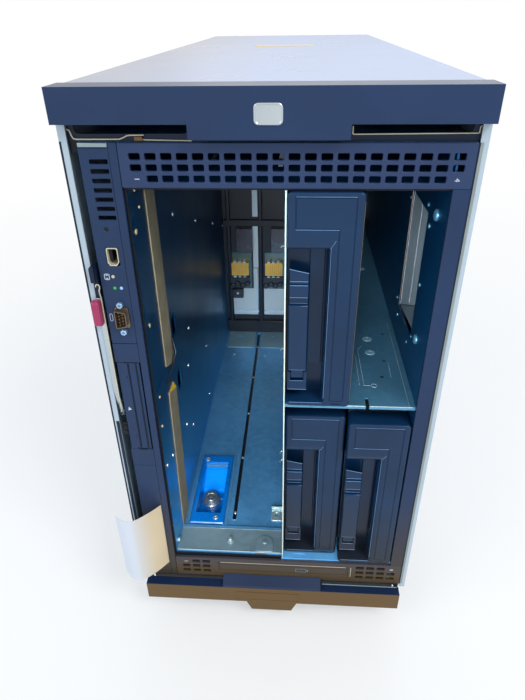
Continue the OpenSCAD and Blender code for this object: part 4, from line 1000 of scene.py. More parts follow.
def make_lever():
    """The release lever's grip, its hook and the parts of the channel beside the chassis."""
    low, high = mm_box("lever_grip")

    bar_low, bar_high = mm_box("release_lever")
    pin_y, pin_z, top = bar_low.y + 16, LEVER_Z, bar_high.z

    def bar(bm):
        extrude(bm, [(pin_y - 5, pin_z), (pin_y - 3, pin_z - 4), (pin_y, pin_z - 5), (pin_y + 3, pin_z - 4),
                     (pin_y + 4, pin_z), (5, pin_z + 30), (5, high.z + 1), (-1, high.z + 1), (-1, pin_z + 30)], "x",
                bar_low.x - 2.0, bar_high.x + 0.4)
    trim("lever_bar", bar, BRIGHT, "release_lever", replaces=["release_lever"], bevel=0.3)

    def tip(bm):
        extrude(bm, [(5, high.z + 1), (5, top), (-6, top), (-6, top - 12), (-3, top - 12), (-3, top - 3),
                     (-1, top - 3), (-1, high.z + 1)], "x", bar_low.x - 2.0, bar_high.x)
    trim("lever_tip", tip, EAR_SLATE, "release_lever", bevel=0.3)

    def grip(bm):
        outline = ([(-0.6, low.z), (-0.6, high.z)] + arc(low.y + 2.6, high.z - 2.6, 2.6, 90, 180, 5)
                   + [(low.y, low.z + 5), (low.y + 0.4, low.z + 1.0)])
        extrude(bm, outline, "x", low.x - 3.8, low.x + 2.8)
    trim("grip_shaped", grip, WINE, "release_lever", 50, ["lever_grip"], bevel=1.1)

    def hook(bm):
        x, z = SKIN_L - 1.7, high.z
        tube(bm, [(x, -1.3, pin_z + 7), (x, -1.3, z - 24), (x, -1.6, z + 3), (x + 0.4, -3.6, z + 7),
                  (x + 0.9, -5.0, z + 9.4), (x + 1.7, -5.2, z + 11.6), (x + 1.9, -5.2, z + 13.4),
                  (x + 1.1, -5.1, z + 14.5), (x - 0.1, -5.0, z + 14.6), (x - 1.1, -4.9, z + 13.8),
                  (x - 1.3, -4.8, z + 12.6)], 0.5, 8)
    trim("lever_hook", hook, CUT_EDGE, "release_lever")

    def hinge(bm):
        add_box(bm, (LEVER_X - 1.2, 2.2, LEVER_Z - 22), (LEVER_X + 2.7, 4.2, LEVER_Z - 8))
        add_box(bm, (LEVER_X - 1.2, 2.2, LEVER_Z + 12), (LEVER_X - 0.9, 4.2, LEVER_Z + 84))
        screw(bm, (LEVER_X + 0.8, 2.2, LEVER_Z - 12), (0, -1, 0), 1.6, 0.7, 14)
        screw(bm, (LEVER_X + 0.8, 2.2, LEVER_Z - 18), (0, -1, 0), 1.6, 0.7, 14)
    trim("lever_bracket", hinge, BLACK, bevel=0.3)


def make_display():
    """Marks and seams on the pull-out display and the covers round it."""
    low, high = mm_box("display_sled")

    def dots(bm):
        for x, z in ((low.x + 6.6, high.z - 15.0), (low.x + 6.4, low.z + 14.8)):
            lathe(bm, (x, -0.02, z), (0, -1, 0), [(0, -0.2), (0.85, -0.2), (0.85, 0.05), (0, 0.05)], 14)
    trim("display_dots", dots, BLACK, "display")

    def arrow(bm):
        extrude(bm, [(low.x + 3.0, low.z + 44.2), (low.x + 6.2, low.z + 45.2), (low.x + 3.8, low.z + 48.2)], "y", -0.05, 0.1)
    trim("display_arrow", arrow, MARK, "display")

    def pads(bm):
        for x0, x1 in ((low.x + 0.6, low.x + 8.7), (low.x + 9.5, low.x + 15.4)):
            outline = round_rect(x0, low.z + 1.0, x1, high.z - 1.0, 1.6, 4)
            fill_plate(bm, outline, [], "y", -0.02, 1.2, 0.5)
    trim("display_pads", pads, SLATE, "display")

    def gaps(bm):
        for x in (low.x + 9.1, low.x + 15.8):
            add_box(bm, (x - 0.3, -0.015, low.z + 1.2), (x + 0.3, 0.3, high.z - 1.4))
        add_box(bm, (low.x + 0.5, -0.015, high.z - 0.5), (high.x - 0.4, 0.3, high.z - 0.1))
    trim("display_gaps", gaps, BLACK, "display")

    def cover_notch(bm):
        outline = round_rect(SKIN_L + 8.6, low.z - 1.6, SKIN_L + 15.6, low.z - 0.1, 0.6)
        fill_plate(bm, outline, [], "y", -0.06, 0.4)
    trim("cover_notch", cover_notch, BLACK)


# ---------- Walls and floor of the bays ----------

def make_wall_details():
    """Rivets, gasket clip and stickers on the left and right bay walls, and dark strips of painted shade over the
    opening's front edges.
    """
    def left_rivets(bm):
        for y, z in ((137, 355), (251.5, 311), (377, 265), (477, 228), (160, 217), (141, 179), (260, 133), (106, 122),
                     (138, 96), (256, 56), (12, 148), (35, 140)):
            dome(bm, (BAY_L, y, z), (1, 0, 0), 2.3, 1.2, 14)
    trim("left_wall_rivets", left_rivets, BRIGHT, replaces=["chassis_fasteners"])

    def tan_rivets(bm):
        for y, z, r in ((22, 410, 1.5), (29, 395, 1.3), (13, 381, 2.2), (15, 300, 2.0), (16, 226, 1.4), (12, 196, 1.5)):
            dome(bm, (BAY_L, y, z), (1, 0, 0), r, 1.0, 14)
    trim("left_wall_tan_rivets", tan_rivets, TAN)

    def right_rivets(bm):
        for y, z, r in ((31.9, 389.3, 4.6), (38.3, 278.6, 4.4), (63, 388, 1.8), (50.5, 374.7, 2.2), (53.8, 322.5, 2.0),
                        (135, 373, 1.6), (140, 269, 1.8), (128.5, 255, 1.8), (57.6, 270, 1.6), (72.7, 255.5, 1.6)):
            dome(bm, (BAY_R, y, z), (-1, 0, 0), r, r * 0.6, 24)
    trim("right_wall_rivets", right_rivets, SHELF_STEEL, sharp=60)

    # Dark strips over the front edges of the opening: painted shade where those edges would catch the bay light.
    def front_edge_shade(bm):
        y0, y1 = EAR_Y - 0.3, EAR_Y - 0.02
        add_box(bm, (STRIP_L, y0, LOWER_H + 0.2), (BAY_L + 0.3, y1, UPPER_Z + 0.3))
        add_box(bm, (BAY_R - 0.2, y0, LOWER_H + 0.2), (BAY_R + 1.6, y1, UPPER_Z + 0.3))
        add_box(bm, (BAY_L + 0.3, y0, CEILING_Z - 0.3), (BAY_R - 0.2, y1, UPPER_Z + 0.3))
        add_box(bm, (BAY_L + 0.3, y0, LOWER_H + 0.2), (column_x(2) - 1, y1, FLOOR_Z + 2.8))
        add_box(bm, (SKIN_L - 6, y0, CHASSIS_H - 7), (SKIN_L + 0.1, y1, CHASSIS_H + 0.6))
    trim("opening_shade_strips", front_edge_shade, DARK_SLATE)

    def pin(bm):
        low, high = mm_box("release_lever")
        x = mm_box("chassis_fasteners")[0].x
        lathe(bm, (x, 10.0, DISPLAY_Z + 37), (1, 0, 0), [(0, 0), (1.35, 0), (1.35, SKIN_L - x), (0, SKIN_L - x)], 18)
    trim("lever_pin", pin, ZINC)

    foam_low, foam_x = mm_box("gasket_strip")[0].y, mm_box("gasket_strip")[1].x

    def tapes(bm):
        top = CEILING_Z - 0.3
        fill_plate(bm, [(foam_low + 1.0, top), (foam_low + 29.1, top), (foam_low + 32.5, 223.6), (foam_low + 1.7, 237.5)],
                   [], "x", foam_x - 1.0, BAY_L + 0.05, 0.4)
        fill_plate(bm, [(foam_low + 0.5, 209.0), (foam_low + 19.7, 209.0), (foam_low + 29.3, 195.7),
                        (foam_low + 23.4, FLOOR_Z + 0.3), (foam_low - 6.2, FLOOR_Z + 0.3)], [], "x", foam_x - 1.0,
                   BAY_L + 0.05, 0.4)
    trim("gasket_tapes", tapes, FOAM, replaces=["gasket_strip"])

    def clip(bm):
        middle = 229.5
        for offset, reach in ((0.0, 6.0), (2.6, 3.4)):
            tube(bm, [(BAY_L + 0.4, foam_low + 2, middle - 9 - offset), (BAY_L + 2.2, foam_low + 9, middle - 4),
                      (BAY_L + reach * 0.6, foam_low + 18 + offset, middle + 1), (BAY_L + reach * 0.8, foam_low + 27, middle + 9),
                      (BAY_L + reach * 0.4, foam_low + 30, middle + 20), (BAY_L + 0.4, foam_low + 30, middle + 26 - offset)], 0.6, 6)
    trim("gasket_clip", clip, BLACK)

    def triangle(bm):
        extrude(bm, [(foam_low + 1.5, 208.0), (foam_low + 19.3, 208.2), (foam_low + 27.8, 196.6)], "x", foam_x - 1.1,
                foam_x - 0.7)
    trim("gasket_arrow", triangle, YELLOW)

    def seams(bm):
        for z in (60, 236, 300):
            add_box(bm, (BAY_L, EAR_Y + 2, z), (BAY_L + 0.4, EAR_Y + 30, z + 0.6))
    trim("left_wall_seams", seams, STEEL, bevel=0.15)

# ---------- Latch ----------

RIM_W, RIM_H, CUP_DEEP = 5.0, 3.0, 14.0
HOUSE_Y0, HOUSE_L, HOUSE_W = mm_box("latch_housing")[0].y, 110.0, 39.0


def latch_height(u, v):
    """Height of the latch housing above the floor, u across and v back from its near corner."""
    side = min(u, HOUSE_W - u)
    end = min(v, HOUSE_L - v)
    edge = min(side, end)
    corner = RIM_H - 1.4 * (1 - smooth_step(edge, 0, 1.4))
    inside = min(smooth_step(side, RIM_W, RIM_W + 1.6), smooth_step(v, 15.0, 16.6), smooth_step(HOUSE_L - v, 12.0, 13.4))
    ramp = 11.0 * smooth_step(v, 62, 66) * min(1.0, max(0.0, (v - 62) / 32)) + 1.2 * smooth_step(v, 50, 52)
    low = -CUP_DEEP + ramp
    return corner + (low - corner) * inside


def make_latch():
    """The blue latch housing as one moulded shell, with its screws, plate and knob."""
    (x0, y0, _), _ = mm_box("latch_housing")
    us = grid_lines(HOUSE_W, 2.6, [(0, 1.6), (HOUSE_W, 1.6), (RIM_W + 0.8, 1.2), (HOUSE_W - RIM_W - 0.8, 1.2)])
    vs = grid_lines(HOUSE_L, 4.0, [(0, 1.6), (HOUSE_L, 1.6), (15.8, 1.2), (HOUSE_L - 12.7, 1.2), (51, 1.6), (64, 2.4)])

    def shell(bm):
        layers = []
        for under in (False, True):
            rows = []
            for v in vs:
                row = []
                for u in us:
                    z = latch_height(u, v)
                    if under:
                        z = 0.02 if z > 0.8 else z - 1.2
                    row.append(bm.verts.new((x0 + u, y0 + v, FLOOR_Z + z)))
                rows.append(row)
            for a, b in zip(rows, rows[1:]):
                for i in range(len(us) - 1):
                    bm.faces.new((a[i], a[i + 1], b[i + 1], b[i]))
            layers.append(rows[0] + [r[-1] for r in rows[1:]] + rows[-1][-2::-1] + [r[0] for r in rows[-2:0:-1]])
        for i in range(len(layers[0])):
            j = (i + 1) % len(layers[0])
            bm.faces.new((layers[0][i], layers[0][j], layers[1][j], layers[1][i]))
    housing = trim("latch_shell", shell, BLUE, sharp=50, replaces=["latch_housing"])
    # The ramp faces in the cup take the lighter blue: painted light.
    housing.data.materials.append(BLUE_LIT_RAMP)
    for face in housing.data.polygons:
        spot = (face.center - TOWER @ Vector((x0, y0, FLOOR_Z))) / MM
        if 60 < spot.y < HOUSE_L - 13 and spot.z < -0.5 and RIM_W < spot.x < HOUSE_W - RIM_W:
            face.material_index = 1

    def screws(bm):
        for u, v in ((7.0, HOUSE_L - 8.0), (29.0, 7.6)):
            screw(bm, (x0 + u, y0 + v, FLOOR_Z + RIM_H), (0, 0, 1), 3.0, 1.5)
    trim("latch_screws", screws, ZINC)

    def border(bm):
        outer = round_rect(x0 - 3.4, y0 - 3.4, x0 + HOUSE_W + 3.4, y0 + HOUSE_L + 3.4, 5)
        plate_with_hole(bm, outer, round_rect(x0 - 0.3, y0 - 0.3, x0 + HOUSE_W + 0.3, y0 + HOUSE_L + 0.3, 3), "z",
                        FLOOR_Z + 1.1, FLOOR_Z - 0.2)
    trim("latch_border", border, FLOOR_STEEL, bevel=0.5)

    low, high = mm_box("latch_knob")
    middle = ((low.x + high.x) / 2, (low.y + high.y) / 2, low.z)

    def knob(bm):
        lathe(bm, middle, (0, 0, 1), [(0, 0), (4.4, 0), (4.4, 1.4), (3.0, 1.5), (3.0, 4.0), (10.4, 4.0), (10.5, 4.6),
                                     (10.5, 6.2), (9.9, 6.9), (7.9, 7.2), (6.9, 7.8), (6.7, 12.4), (7.7, 12.7),
                                     (7.9, 13.3), (7.5, 14.0), (4.6, 14.0), (4.3, 12.9), (2.4, 12.7), (2.1, 13.5), (0, 13.6)], 40)
    trim("latch_knob_turned", knob, BRIGHT, "latch_knob", sharp=40, replaces=["latch_knob"])


# ---------- Bay floor, sill, shelf and divider ----------

def make_floor():
    """The sill plate, brackets, studs and fixings of the bay floor, with painted highlights on the sill's edges and
    painted shade in the floor slot.
    """
    x_end = column_x(2) - 1.0

    def sill(bm):
        z = mm_box("bay_floor")[1].z
        outline = [(EAR_Y + 2.2, z - 0.4), (EAR_Y + 2.9, z + 0.35), (EAR_Y + 5.2, z + 0.05), (EAR_Y + 29, z + 0.05),
                   (EAR_Y + 31.6, z + 0.5), (EAR_Y + 33.0, z - 0.6), (EAR_Y + 34.0, z - 3.2), (EAR_Y + 2.2, z - 3.2)]
        extrude(bm, outline, "x", BAY_L + 0.2, x_end)
    trim("sill_plate", sill, SILL_STEEL, bevel=0.25)

    # Bright bars along the sill's front and back edges: painted highlights.
    def sill_edge_highlights(bm):
        z = mm_box("bay_floor")[1].z
        tube(bm, [(BAY_L + 1, EAR_Y + 2.6, z + 0.15), (x_end, EAR_Y + 2.6, z + 0.15)], 0.5, 8)
        tube(bm, [(BAY_L + 1, EAR_Y + 32.0, z + 0.2), (x_end, EAR_Y + 32.0, z + 0.2)], 0.45, 8)
    trim("sill_edge_highlights", sill_edge_highlights, EDGE_STEEL)

    def tab(bm):
        z = mm_box("bay_floor")[1].z
        points = arc(column_x(2) - 19.5, EAR_Y + 15, 9.2, 0, 180, 14)
        points += [(column_x(2) - 28.7, EAR_Y + 3.4), (column_x(2) - 10.3, EAR_Y + 3.4)]
        extrude(bm, points, "z", z - 0.1, z + 0.9)
        dome(bm, (column_x(2) - 19.5, EAR_Y + 15, z + 0.9), (0, 0, 1), 2.6, 1.4)
    trim("sill_tab", tab, SILL_STEEL, bevel=0.3)

    def studs(bm):
        z = mm_box("bay_floor")[1].z
        lathe(bm, (BAY_L + 55.5, EAR_Y + 15.5, z), (0, 0, 1), [(0, -0.2), (3.6, -0.2), (3.6, 0.5), (2.1, 0.9), (2.1, 4.4),
                                                              (1.7, 5.0), (0, 5.0)], 20)
        lathe(bm, (BAY_L, EAR_Y + 12, z + 4), (1, 0, 0), [(0, -0.2), (3.0, -0.2), (3.0, 1.6), (2.0, 2.2), (0, 2.2)], 18)
        for x, y in ((BAY_L + 19, 404), (BAY_L + 71, 402)):
            screw(bm, (x, y, FLOOR_Z), (0, 0, 1), 2.4, 0.8)
        for k in range(5):
            dome(bm, (column_x(1), EAR_Y + 60 + k * 92, FLOOR_Z - 1.6), (0, 0, 1), 1.8, 0.8)
    trim("floor_studs", studs, EDGE_STEEL)

    def slot_rim(bm):
        outer = round_rect(column_x(1) - 3.2, EAR_Y + 47.6, column_x(1) + 3.2, MIDPLANE_Y - 6.8, 1.6, 3)
        plate_with_hole(bm, outer, grown(outer, -1.1), "z", FLOOR_Z + 0.35, FLOOR_Z - 1.9)
    trim("floor_slot_rim", slot_rim, FLOOR_STEEL, bevel=0.15)

    # A black sheet at the bottom of the floor slot: painted shade.
    def slot_shade(bm):
        add_box(bm, (column_x(1) - 1.9, EAR_Y + 49.2, FLOOR_Z - 2.4), (column_x(1) + 1.9, MIDPLANE_Y - 8.2, FLOOR_Z - 2.0))
    trim("floor_slot_shade", slot_shade, BLACK)

    def rear_step(bm):
        for x0, x1 in ((BAY_L + 4, column_x(1) - 5), (column_x(1) + 5, column_x(2) - 3)):
            outline = round_rect(x0, EAR_Y + 423, x1, MIDPLANE_Y - 1, 3, 3)
            hole = arc((x0 + x1) / 2 - 4, EAR_Y + 458, 3.4, 0, 345, 23)
            fill_plate(bm, outline, [hole], "z", FLOOR_Z + 0.9, FLOOR_Z + 0.02, 0.3)
    trim("floor_rear_plates", rear_step, PLATE_STEEL)

    def bracket(bm):
        outer = round_rect(column_x(2) - 14.6, EAR_Y + 48, column_x(2) - 1.2, EAR_Y + 66, 2.2, 3)
        hole = arc(column_x(2) - 8.4, EAR_Y + 57, 2.4, 0, 342, 19)
        fill_plate(bm, outer, [hole], "z", FLOOR_Z + 1.6, FLOOR_Z + 0.02, 0.35)
        add_box(bm, (column_x(2) - 14.4, EAR_Y + 64.6, FLOOR_Z + 1.5), (column_x(2) - 1.2, EAR_Y + 66, FLOOR_Z + 5.0))
    trim("latch_bracket", bracket, EDGE_STEEL, bevel=0.2)

    # A pale bar on the divider's front edge: its bare cut edge, drawn lighter as a painted highlight.
    def divider_edges(bm):
        x = column_x(2)
        add_box(bm, (x - 0.32, EAR_Y - 0.5, FLOOR_Z + 3.6), (x + 0.32, EAR_Y + 0.1, CEILING_Z - 0.4))
    trim("divider_edge", divider_edges, CUT_EDGE, bevel=0.25)

    def divider_tabs(bm):
        x = column_x(2) - 0.6
        for y, z in ((60, 112), (60, 124), (62, 250), (60, 352)):
            tube(bm, [(x, EAR_Y + y, z), (x - 3.6, EAR_Y + y - 0.4, z), (x - 4.2, EAR_Y + y - 3, z)], 0.6, 6)
    trim("divider_hooks", divider_tabs, EDGE_STEEL)


def make_shelf():
    """Fixings, marks and painted highlight bars along the front edge and the right side of the shelf beside the upper
    blank.
    """
    x0, x1 = column_x(3), BAY_R
    y0 = EAR_Y

    # Bright bars along the shelf's front edge and its right side: painted highlights.
    def edge(bm):
        tube(bm, [(x0 - 14, y0 + 0.4, SHELF_Z - 0.3), (x0 + 13.4, y0 + 0.4, SHELF_Z - 0.3)], 0.5, 8)
        tube(bm, [(x0 + 17.6, y0 + 0.4, SHELF_Z - 0.3), (x1 - 2, y0 + 0.4, SHELF_Z - 0.3)], 0.5, 8)
        tube(bm, [(x1 - 5, y0 + 2, SHELF_Z + 0.2), (x1 - 5, y0 + 150, SHELF_Z + 0.2)], 0.35, 6)
    trim("shelf_edge_highlights", edge, EDGE_STEEL)

    def fixings(bm):
        for x, y in ((93.3, 117.5), (93.7, 91.1), (88, 220), (104, 300)):
            lathe(bm, (x, y, SHELF_Z), (0, 0, 1), [(0, -0.2), (5.0, -0.2), (4.8, 0.35), (3.4, 0.7), (2.2, 0.6),
                                                  (1.8, 0.2), (0, 0.1)], 22)
    trim("shelf_dimples", fixings, PLATE_STEEL)

    def slots(bm):
        for x, y in ((105.4, 75.8), (100.1, 48.4), (110, 128)):
            outline = round_rect(x - 1.6, y - 1.1, x + 1.6, y + 1.1, 0.8)
            fill_plate(bm, outline, [], "z", SHELF_Z + 0.06, SHELF_Z - 0.3)
    trim("shelf_slots", slots, BLACK)

    def marks(bm):
        z = SHELF_Z + 0.06
        for line in ([(86, 103), (81.8, 95), (82.5, 34), (88.4, 34)], [(78.5, 84), (78.5, 34.7)], [(109, 74), (108.5, 49)]):
            tube(bm, [(x, y, z) for x, y in line], 0.2, 5)
        tube(bm, [(x, y, z) for x, y in arc(91.4, 34.2, 2.6, 0, 337, 15)], 0.2, 5, closed=True)
    trim("shelf_marks", marks, PALE_STEEL)


def make_window():
    """The plate seen through the right wall's window, in painted light and shade: a pale lit part and a darker shaded
    part split along a diagonal, pale lines as painted highlights on its folds, and a brass rim.
    """
    y0, z0, length, height = EAR_Y + 57, SHELF_Z + 35.5, 67.0, 115.0
    turn = (y0 + 3.6, z0 + 31)

    # The pale part of the plate: painted light.
    def plate(bm):
        extrude(bm, [(y0 + length - 0.3, z0 + 0.6), turn, (y0 + 0.3, z0 + 32), (y0 + 0.3, z0 + height - 0.3),
                     (y0 + length - 0.3, z0 + height - 0.3)], "x", BAY_R + 1.0, BAY_R + 1.4)
    trim("window_lit_plate", plate, PALE_STEEL)

    # Pale lines on the folds: painted highlights.
    def folds(bm):
        for k, t, bottom in ((27, 0.4, 22), (length - 2.4, 1.4, 3)):
            add_box(bm, (BAY_R + 0.85, y0 + k, z0 + bottom), (BAY_R + 1.1, y0 + k + t, z0 + height - 0.5))
    trim("window_fold_highlights", folds, MARK)

    # The darker part below the diagonal: painted shade.
    def shaded_plate(bm):
        extrude(bm, [(y0 + length - 2, z0 + 0.3), (turn[0], turn[1] - 1.0), (y0 + 0.3, z0 + 8)], "x", BAY_R + 1.05,
                BAY_R + 1.45)
    trim("window_shaded_plate", shaded_plate, REAR_STEEL)

    def rim(bm):
        tube(bm, [(BAY_R + 0.1, y0 + length + 0.4, z0 + height), (BAY_R + 0.1, y0 + length + 0.4, z0 - 0.4),
                  (BAY_R + 0.1, y0 + 26, z0 - 0.4)], 0.5, 6)
    trim("window_rim", rim, BRASS)


# ---------- Midplane ----------

def make_midplane():
    """Bars, boards and connectors at the back of the bays."""
    y = MIDPLANE_Y
    for row, base in enumerate((FLOOR_Z, SHELF_Z)):
        for i in range(4):
            x = column_x(i)
            tag = "%d_%d" % (i + 1, row)

            def pins(bm, x=x, base=base):
                for k in range(9):
                    add_box(bm, (x + 12.2 + k * 3.2, y - 13.4, base + 113.4), (x + 15.3 + k * 3.2, y - 3.0, base + 136))
            trim("contacts_" + tag, pins, GOLD, bevel=0.3)

            def clips(bm, x=x, base=base):
                for z in (base + 110.4, base + 136.4):
                    for k in range(3):
                        add_box(bm, (x + 15.5 + k * 8, y - 14.2, z), (x + 20 + k * 8, y - 2.6, z + 2.2))
            trim("contact_clips_" + tag, clips, EDGE_STEEL, bevel=0.4)

            def scallops(bm, x=x, base=base):
                for k in range(4):
                    lathe(bm, (x + 13 + k * 8.2, y - 2.4, base + 93 + (k % 2) * 3), (0, -1, 0),
                          [(0, -0.4), (4.8, -0.4), (4.8, 7.6), (3.9, 8.6), (0, 8.8)], 18)
                add_box(bm, (x + 9, y - 8, base + 95), (x + 42, y - 1.9, base + 109))
            trim("midplane_parts_" + tag, scallops, BLACK, bevel=0.4)

            def socket(bm, x=x, base=base):
                top = base + (197 if row == 0 else 182)
                outer = round_rect(x + 22, base + 156, x + 48, top, 1.5)
                fill_plate(bm, outer, [], "y", y - 19.2, y + 0.1, 0.8)
                for k in range(3):
                    add_box(bm, (x + 27 + k * 7, y - 19.5, base + 160), (x + 27.5 + k * 7, y - 19, top - 4))
            trim("midplane_socket_" + tag, socket, BOX,
                 replaces=["bay_connectors"] if i + row == 0 else ())
    posts = [BAY_L + 5.4] + [column_x(i) + 0.9 for i in (1, 2, 3)]

    def backing(bm):
        for i in range(4):
            x = column_x(i)
            fill_plate(bm, round_rect(x + 2, 34, x + 54, 150, 1.0), [], "y", y + 2.0, y + 2.8)
            fill_plate(bm, round_rect(x + 40, 152, x + 60 if i < 3 else BAY_R - 1, 342, 1.0), [], "y", y + 2.0, y + 2.8)
    trim("midplane_backing", backing, PALE_STEEL)

    def backing_lines(bm):
        for z, t in ((68, 3.0), (60, 2.0)):
            add_box(bm, (BAY_L + 2, y + 1.4, z), (BAY_R - 2, y + 2.1, z + t))
    trim("midplane_backing_lines", backing_lines, REAR_STEEL)

    def bars(bm):
        for x in posts:
            extrude(bm, [(x, y - 4.2), (x + 1.0, y - 5.0), (x + 5.6, y - 5.0), (x + 6.6, y - 4.2), (x + 6.6, y), (x, y)],
                    "z", FLOOR_Z + 1, CEILING_Z - 1)
        add_box(bm, (BAY_L + 1, y - 6.2, 226), (column_x(2) - 2, y - 0.1, 236))
        add_box(bm, (BAY_L + 1, y - 5.2, FLOOR_Z + 1), (BAY_R - 1, y - 0.1, FLOOR_Z + 24))
    trim("midplane_bars", bars, DARK_SLATE, bevel=0.6)

    def small_box(bm):
        x = column_x(0) + 12
        add_box(bm, (x, y - 12, 101), (x + 18, y - 1, 117))
    trim("midplane_box", small_box, BLACK, bevel=0.6)

    def dot(bm):
        dome(bm, (column_x(0) + 21, y - 12, 110), (0, -1, 0), 1.8, 0.8)
    trim("midplane_dot", dot, MARK)

# ---------- Skins, cap and base ----------

def make_skins():
    """Seams, trim and fixings of the cover, the side panels, the cap and the base, with strips of painted shade on the
    panels' front edges and a painted highlight on the base.
    """
    (cover_l, seam_y, notch_z), (cover_r, back_y, top_z) = mm_box("top_cover")

    def tape(bm):
        add_box(bm, (-40, seam_y + 414, top_z - 0.02), (36, seam_y + 438, top_z + 0.15))
    trim("cover_strip", tape, YELLOW)

    def cover_seams(bm):
        for x in (cover_l + 6, cover_r - 6):
            add_box(bm, (x - 0.25, seam_y + 3, top_z - 0.3), (x + 0.25, back_y - 3, top_z + 0.02))
    trim("cover_seams", cover_seams, SIDE)

    def cover_screws(bm):
        for side in (-1, 1):
            x = cover_r if side > 0 else cover_l
            for y in (90, 400, 700):
                screw(bm, (x, y, (notch_z + top_z) / 2), (side, 0, 0), 3.2, 0.4)
        for x in (-100, -36, 36, 100):
            screw(bm, (x, back_y, (notch_z + top_z) / 2), (0, 1, 0), 3.2, 1.2)
    trim("cover_screws", cover_screws, ZINC)

    for side, name in ((-1, "left"), (1, "right")):
        low, high = mm_box("side_panel_" + name)
        x = low.x if side < 0 else high.x

        def screws(bm, side=side, x=x, low=low, high=high):
            for y in (26, 390, 760):
                for z in (low.z + 14, high.z - 14):
                    screw(bm, (x, y, z), (side, 0, 0), 3.2, 0.4)
        trim("side_screws_" + name, screws, ZINC)

        def ribs(bm, side=side, x=x, low=low, high=high):
            for y in (60, 730):
                outline = round_rect(y - 1.4, low.z + 30, y + 1.4, high.z - 30, 1.3, 4)
                fill_plate(bm, outline, [], "x", x + side * 0.35, x - side * 0.3, 0.3)
        trim("side_ribs_" + name, ribs, SIDE)

        def grip(bm, side=side, x=x, low=low, high=high):
            outer = round_rect(330, high.z - 96, 450, high.z - 62, 8, 6)
            fill_plate(bm, outer, [grown(outer, -3.2)], "x", x + side * 0.45, x - side * 0.2, 0.3)
            for k in range(5):
                fill_plate(bm, round_rect(342 + k * 20, high.z - 90, 354 + k * 20, high.z - 68, 4, 4), [], "x",
                           x + side * 0.25, x - side * 0.2, 0.15)
        trim("side_vents_" + name, grip, SIDE)

    badge_low, badge_high = mm_box("badge_plate")

    def badge(bm):
        outer = round_rect(badge_low.x, badge_low.z, badge_high.x, badge_high.z, 3.2, 6)
        fill_plate(bm, outer, [grown(outer, -1.1)], "y", badge_low.y, badge_high.y, 0.3)
        fill_plate(bm, grown(outer, -1.0), [], "y", badge_low.y + 0.45, badge_high.y)
    trim("badge_framed", badge, BRIGHT, replaces=["badge_plate"])

    def base_plate(bm):
        outer = round_rect(-38, -24.5, 30, -12, 0.8)
        fill_plate(bm, outer, [grown(outer, -0.5)], "y", CAP_Y - 0.3, CAP_Y + 0.4)
        fill_plate(bm, grown(outer, -0.5), [], "y", CAP_Y - 0.12, CAP_Y + 0.4)
    trim("base_label_plate", base_plate, BASE)

    # A bright bar along the base's step: a painted highlight.
    def base_highlight_bar(bm):
        tube(bm, [(54, -1.2, -4.8), (HALF_W - 8, -1.2, -4.8)], 0.5, 8)
    trim("base_highlight", base_highlight_bar, EDGE_STEEL)

    # Dark strips on the side panels' front edges and the gap beside the chassis: painted shade.
    def shade_edges(bm):
        add_box(bm, (-HALF_W, -0.3, 2), (-HALF_W + 1.4, 2.0, notch_z - 12))
        add_box(bm, (-HALF_W + 2.7, -0.3, 2), (-HALF_W + 5.5, 0.3, 210))
        add_box(bm, (HALF_W - 6.0, -0.35, 0.5), (HALF_W - 5.2, 0.3, CHASSIS_H))
    trim("side_shade_edges", shade_edges, EAR_SLATE, bevel=0.15)

    def pale_edge(bm):
        add_box(bm, (HALF_W - 5.2, -0.3, 1.5), (HALF_W - 3.2, 0.3, CHASSIS_H))
    trim("side_right_edge", pale_edge, PANEL_EDGE, bevel=0.15)


def make_tag():
    """A pull-out card that curls forward from the post, with a raised printed frame left bare."""
    low, high = mm_box("info_tag")
    steps, rows = 24, 12
    bend = [(POST_L - 1.0, -0.6), (-114.6, -7.4), (-120.6, -13.8), (-126.6, -19.4), (-133.0, -23.4), (-139.4, -23.2),
            (-145.4, -20.4), (-150.6, -16.0)]

    def on_bend(t):
        """A point on the smooth line through the bend's points."""
        k = min(len(bend) - 2, int(t * (len(bend) - 1)))
        f = t * (len(bend) - 1) - k
        a, b, c, d = (bend[min(len(bend) - 1, max(0, k + j))] for j in (-1, 0, 1, 2))
        return [0.5 * (2 * q + (r - p) * f + (2 * p - 5 * q + 4 * r - u) * f * f + (3 * q - p - 3 * r + u) * f ** 3)
                for p, q, r, u in zip(a, b, c, d)]

    def card(bm):
        layers = []
        for under in (0.0, 0.45):
            grid = []
            for j in range(rows + 1):
                v = j / rows
                row = []
                for i in range(steps + 1):
                    t = i / steps
                    x, y = on_bend(t)
                    lean = 1.6 * math.sin(math.pi * t) * (0.5 - v)
                    row.append(bm.verts.new((x, y + under - lean, low.z + 0.2 + v * (high.z - low.z - 0.4))))
                grid.append(row)
            for a, b in zip(grid, grid[1:]):
                for i in range(steps):
                    bm.faces.new((a[i], a[i + 1], b[i + 1], b[i]))
            layers.append(grid[0] + [r[-1] for r in grid[1:]] + grid[-1][-2::-1] + [r[0] for r in grid[-2:0:-1]])
        for i in range(len(layers[0])):
            j = (i + 1) % len(layers[0])
            bm.faces.new((layers[0][i], layers[0][j], layers[1][j], layers[1][i]))
    trim("tag_card", card, CARD, sharp=60, replaces=["info_tag"])


# ---------- Rear and casters ----------

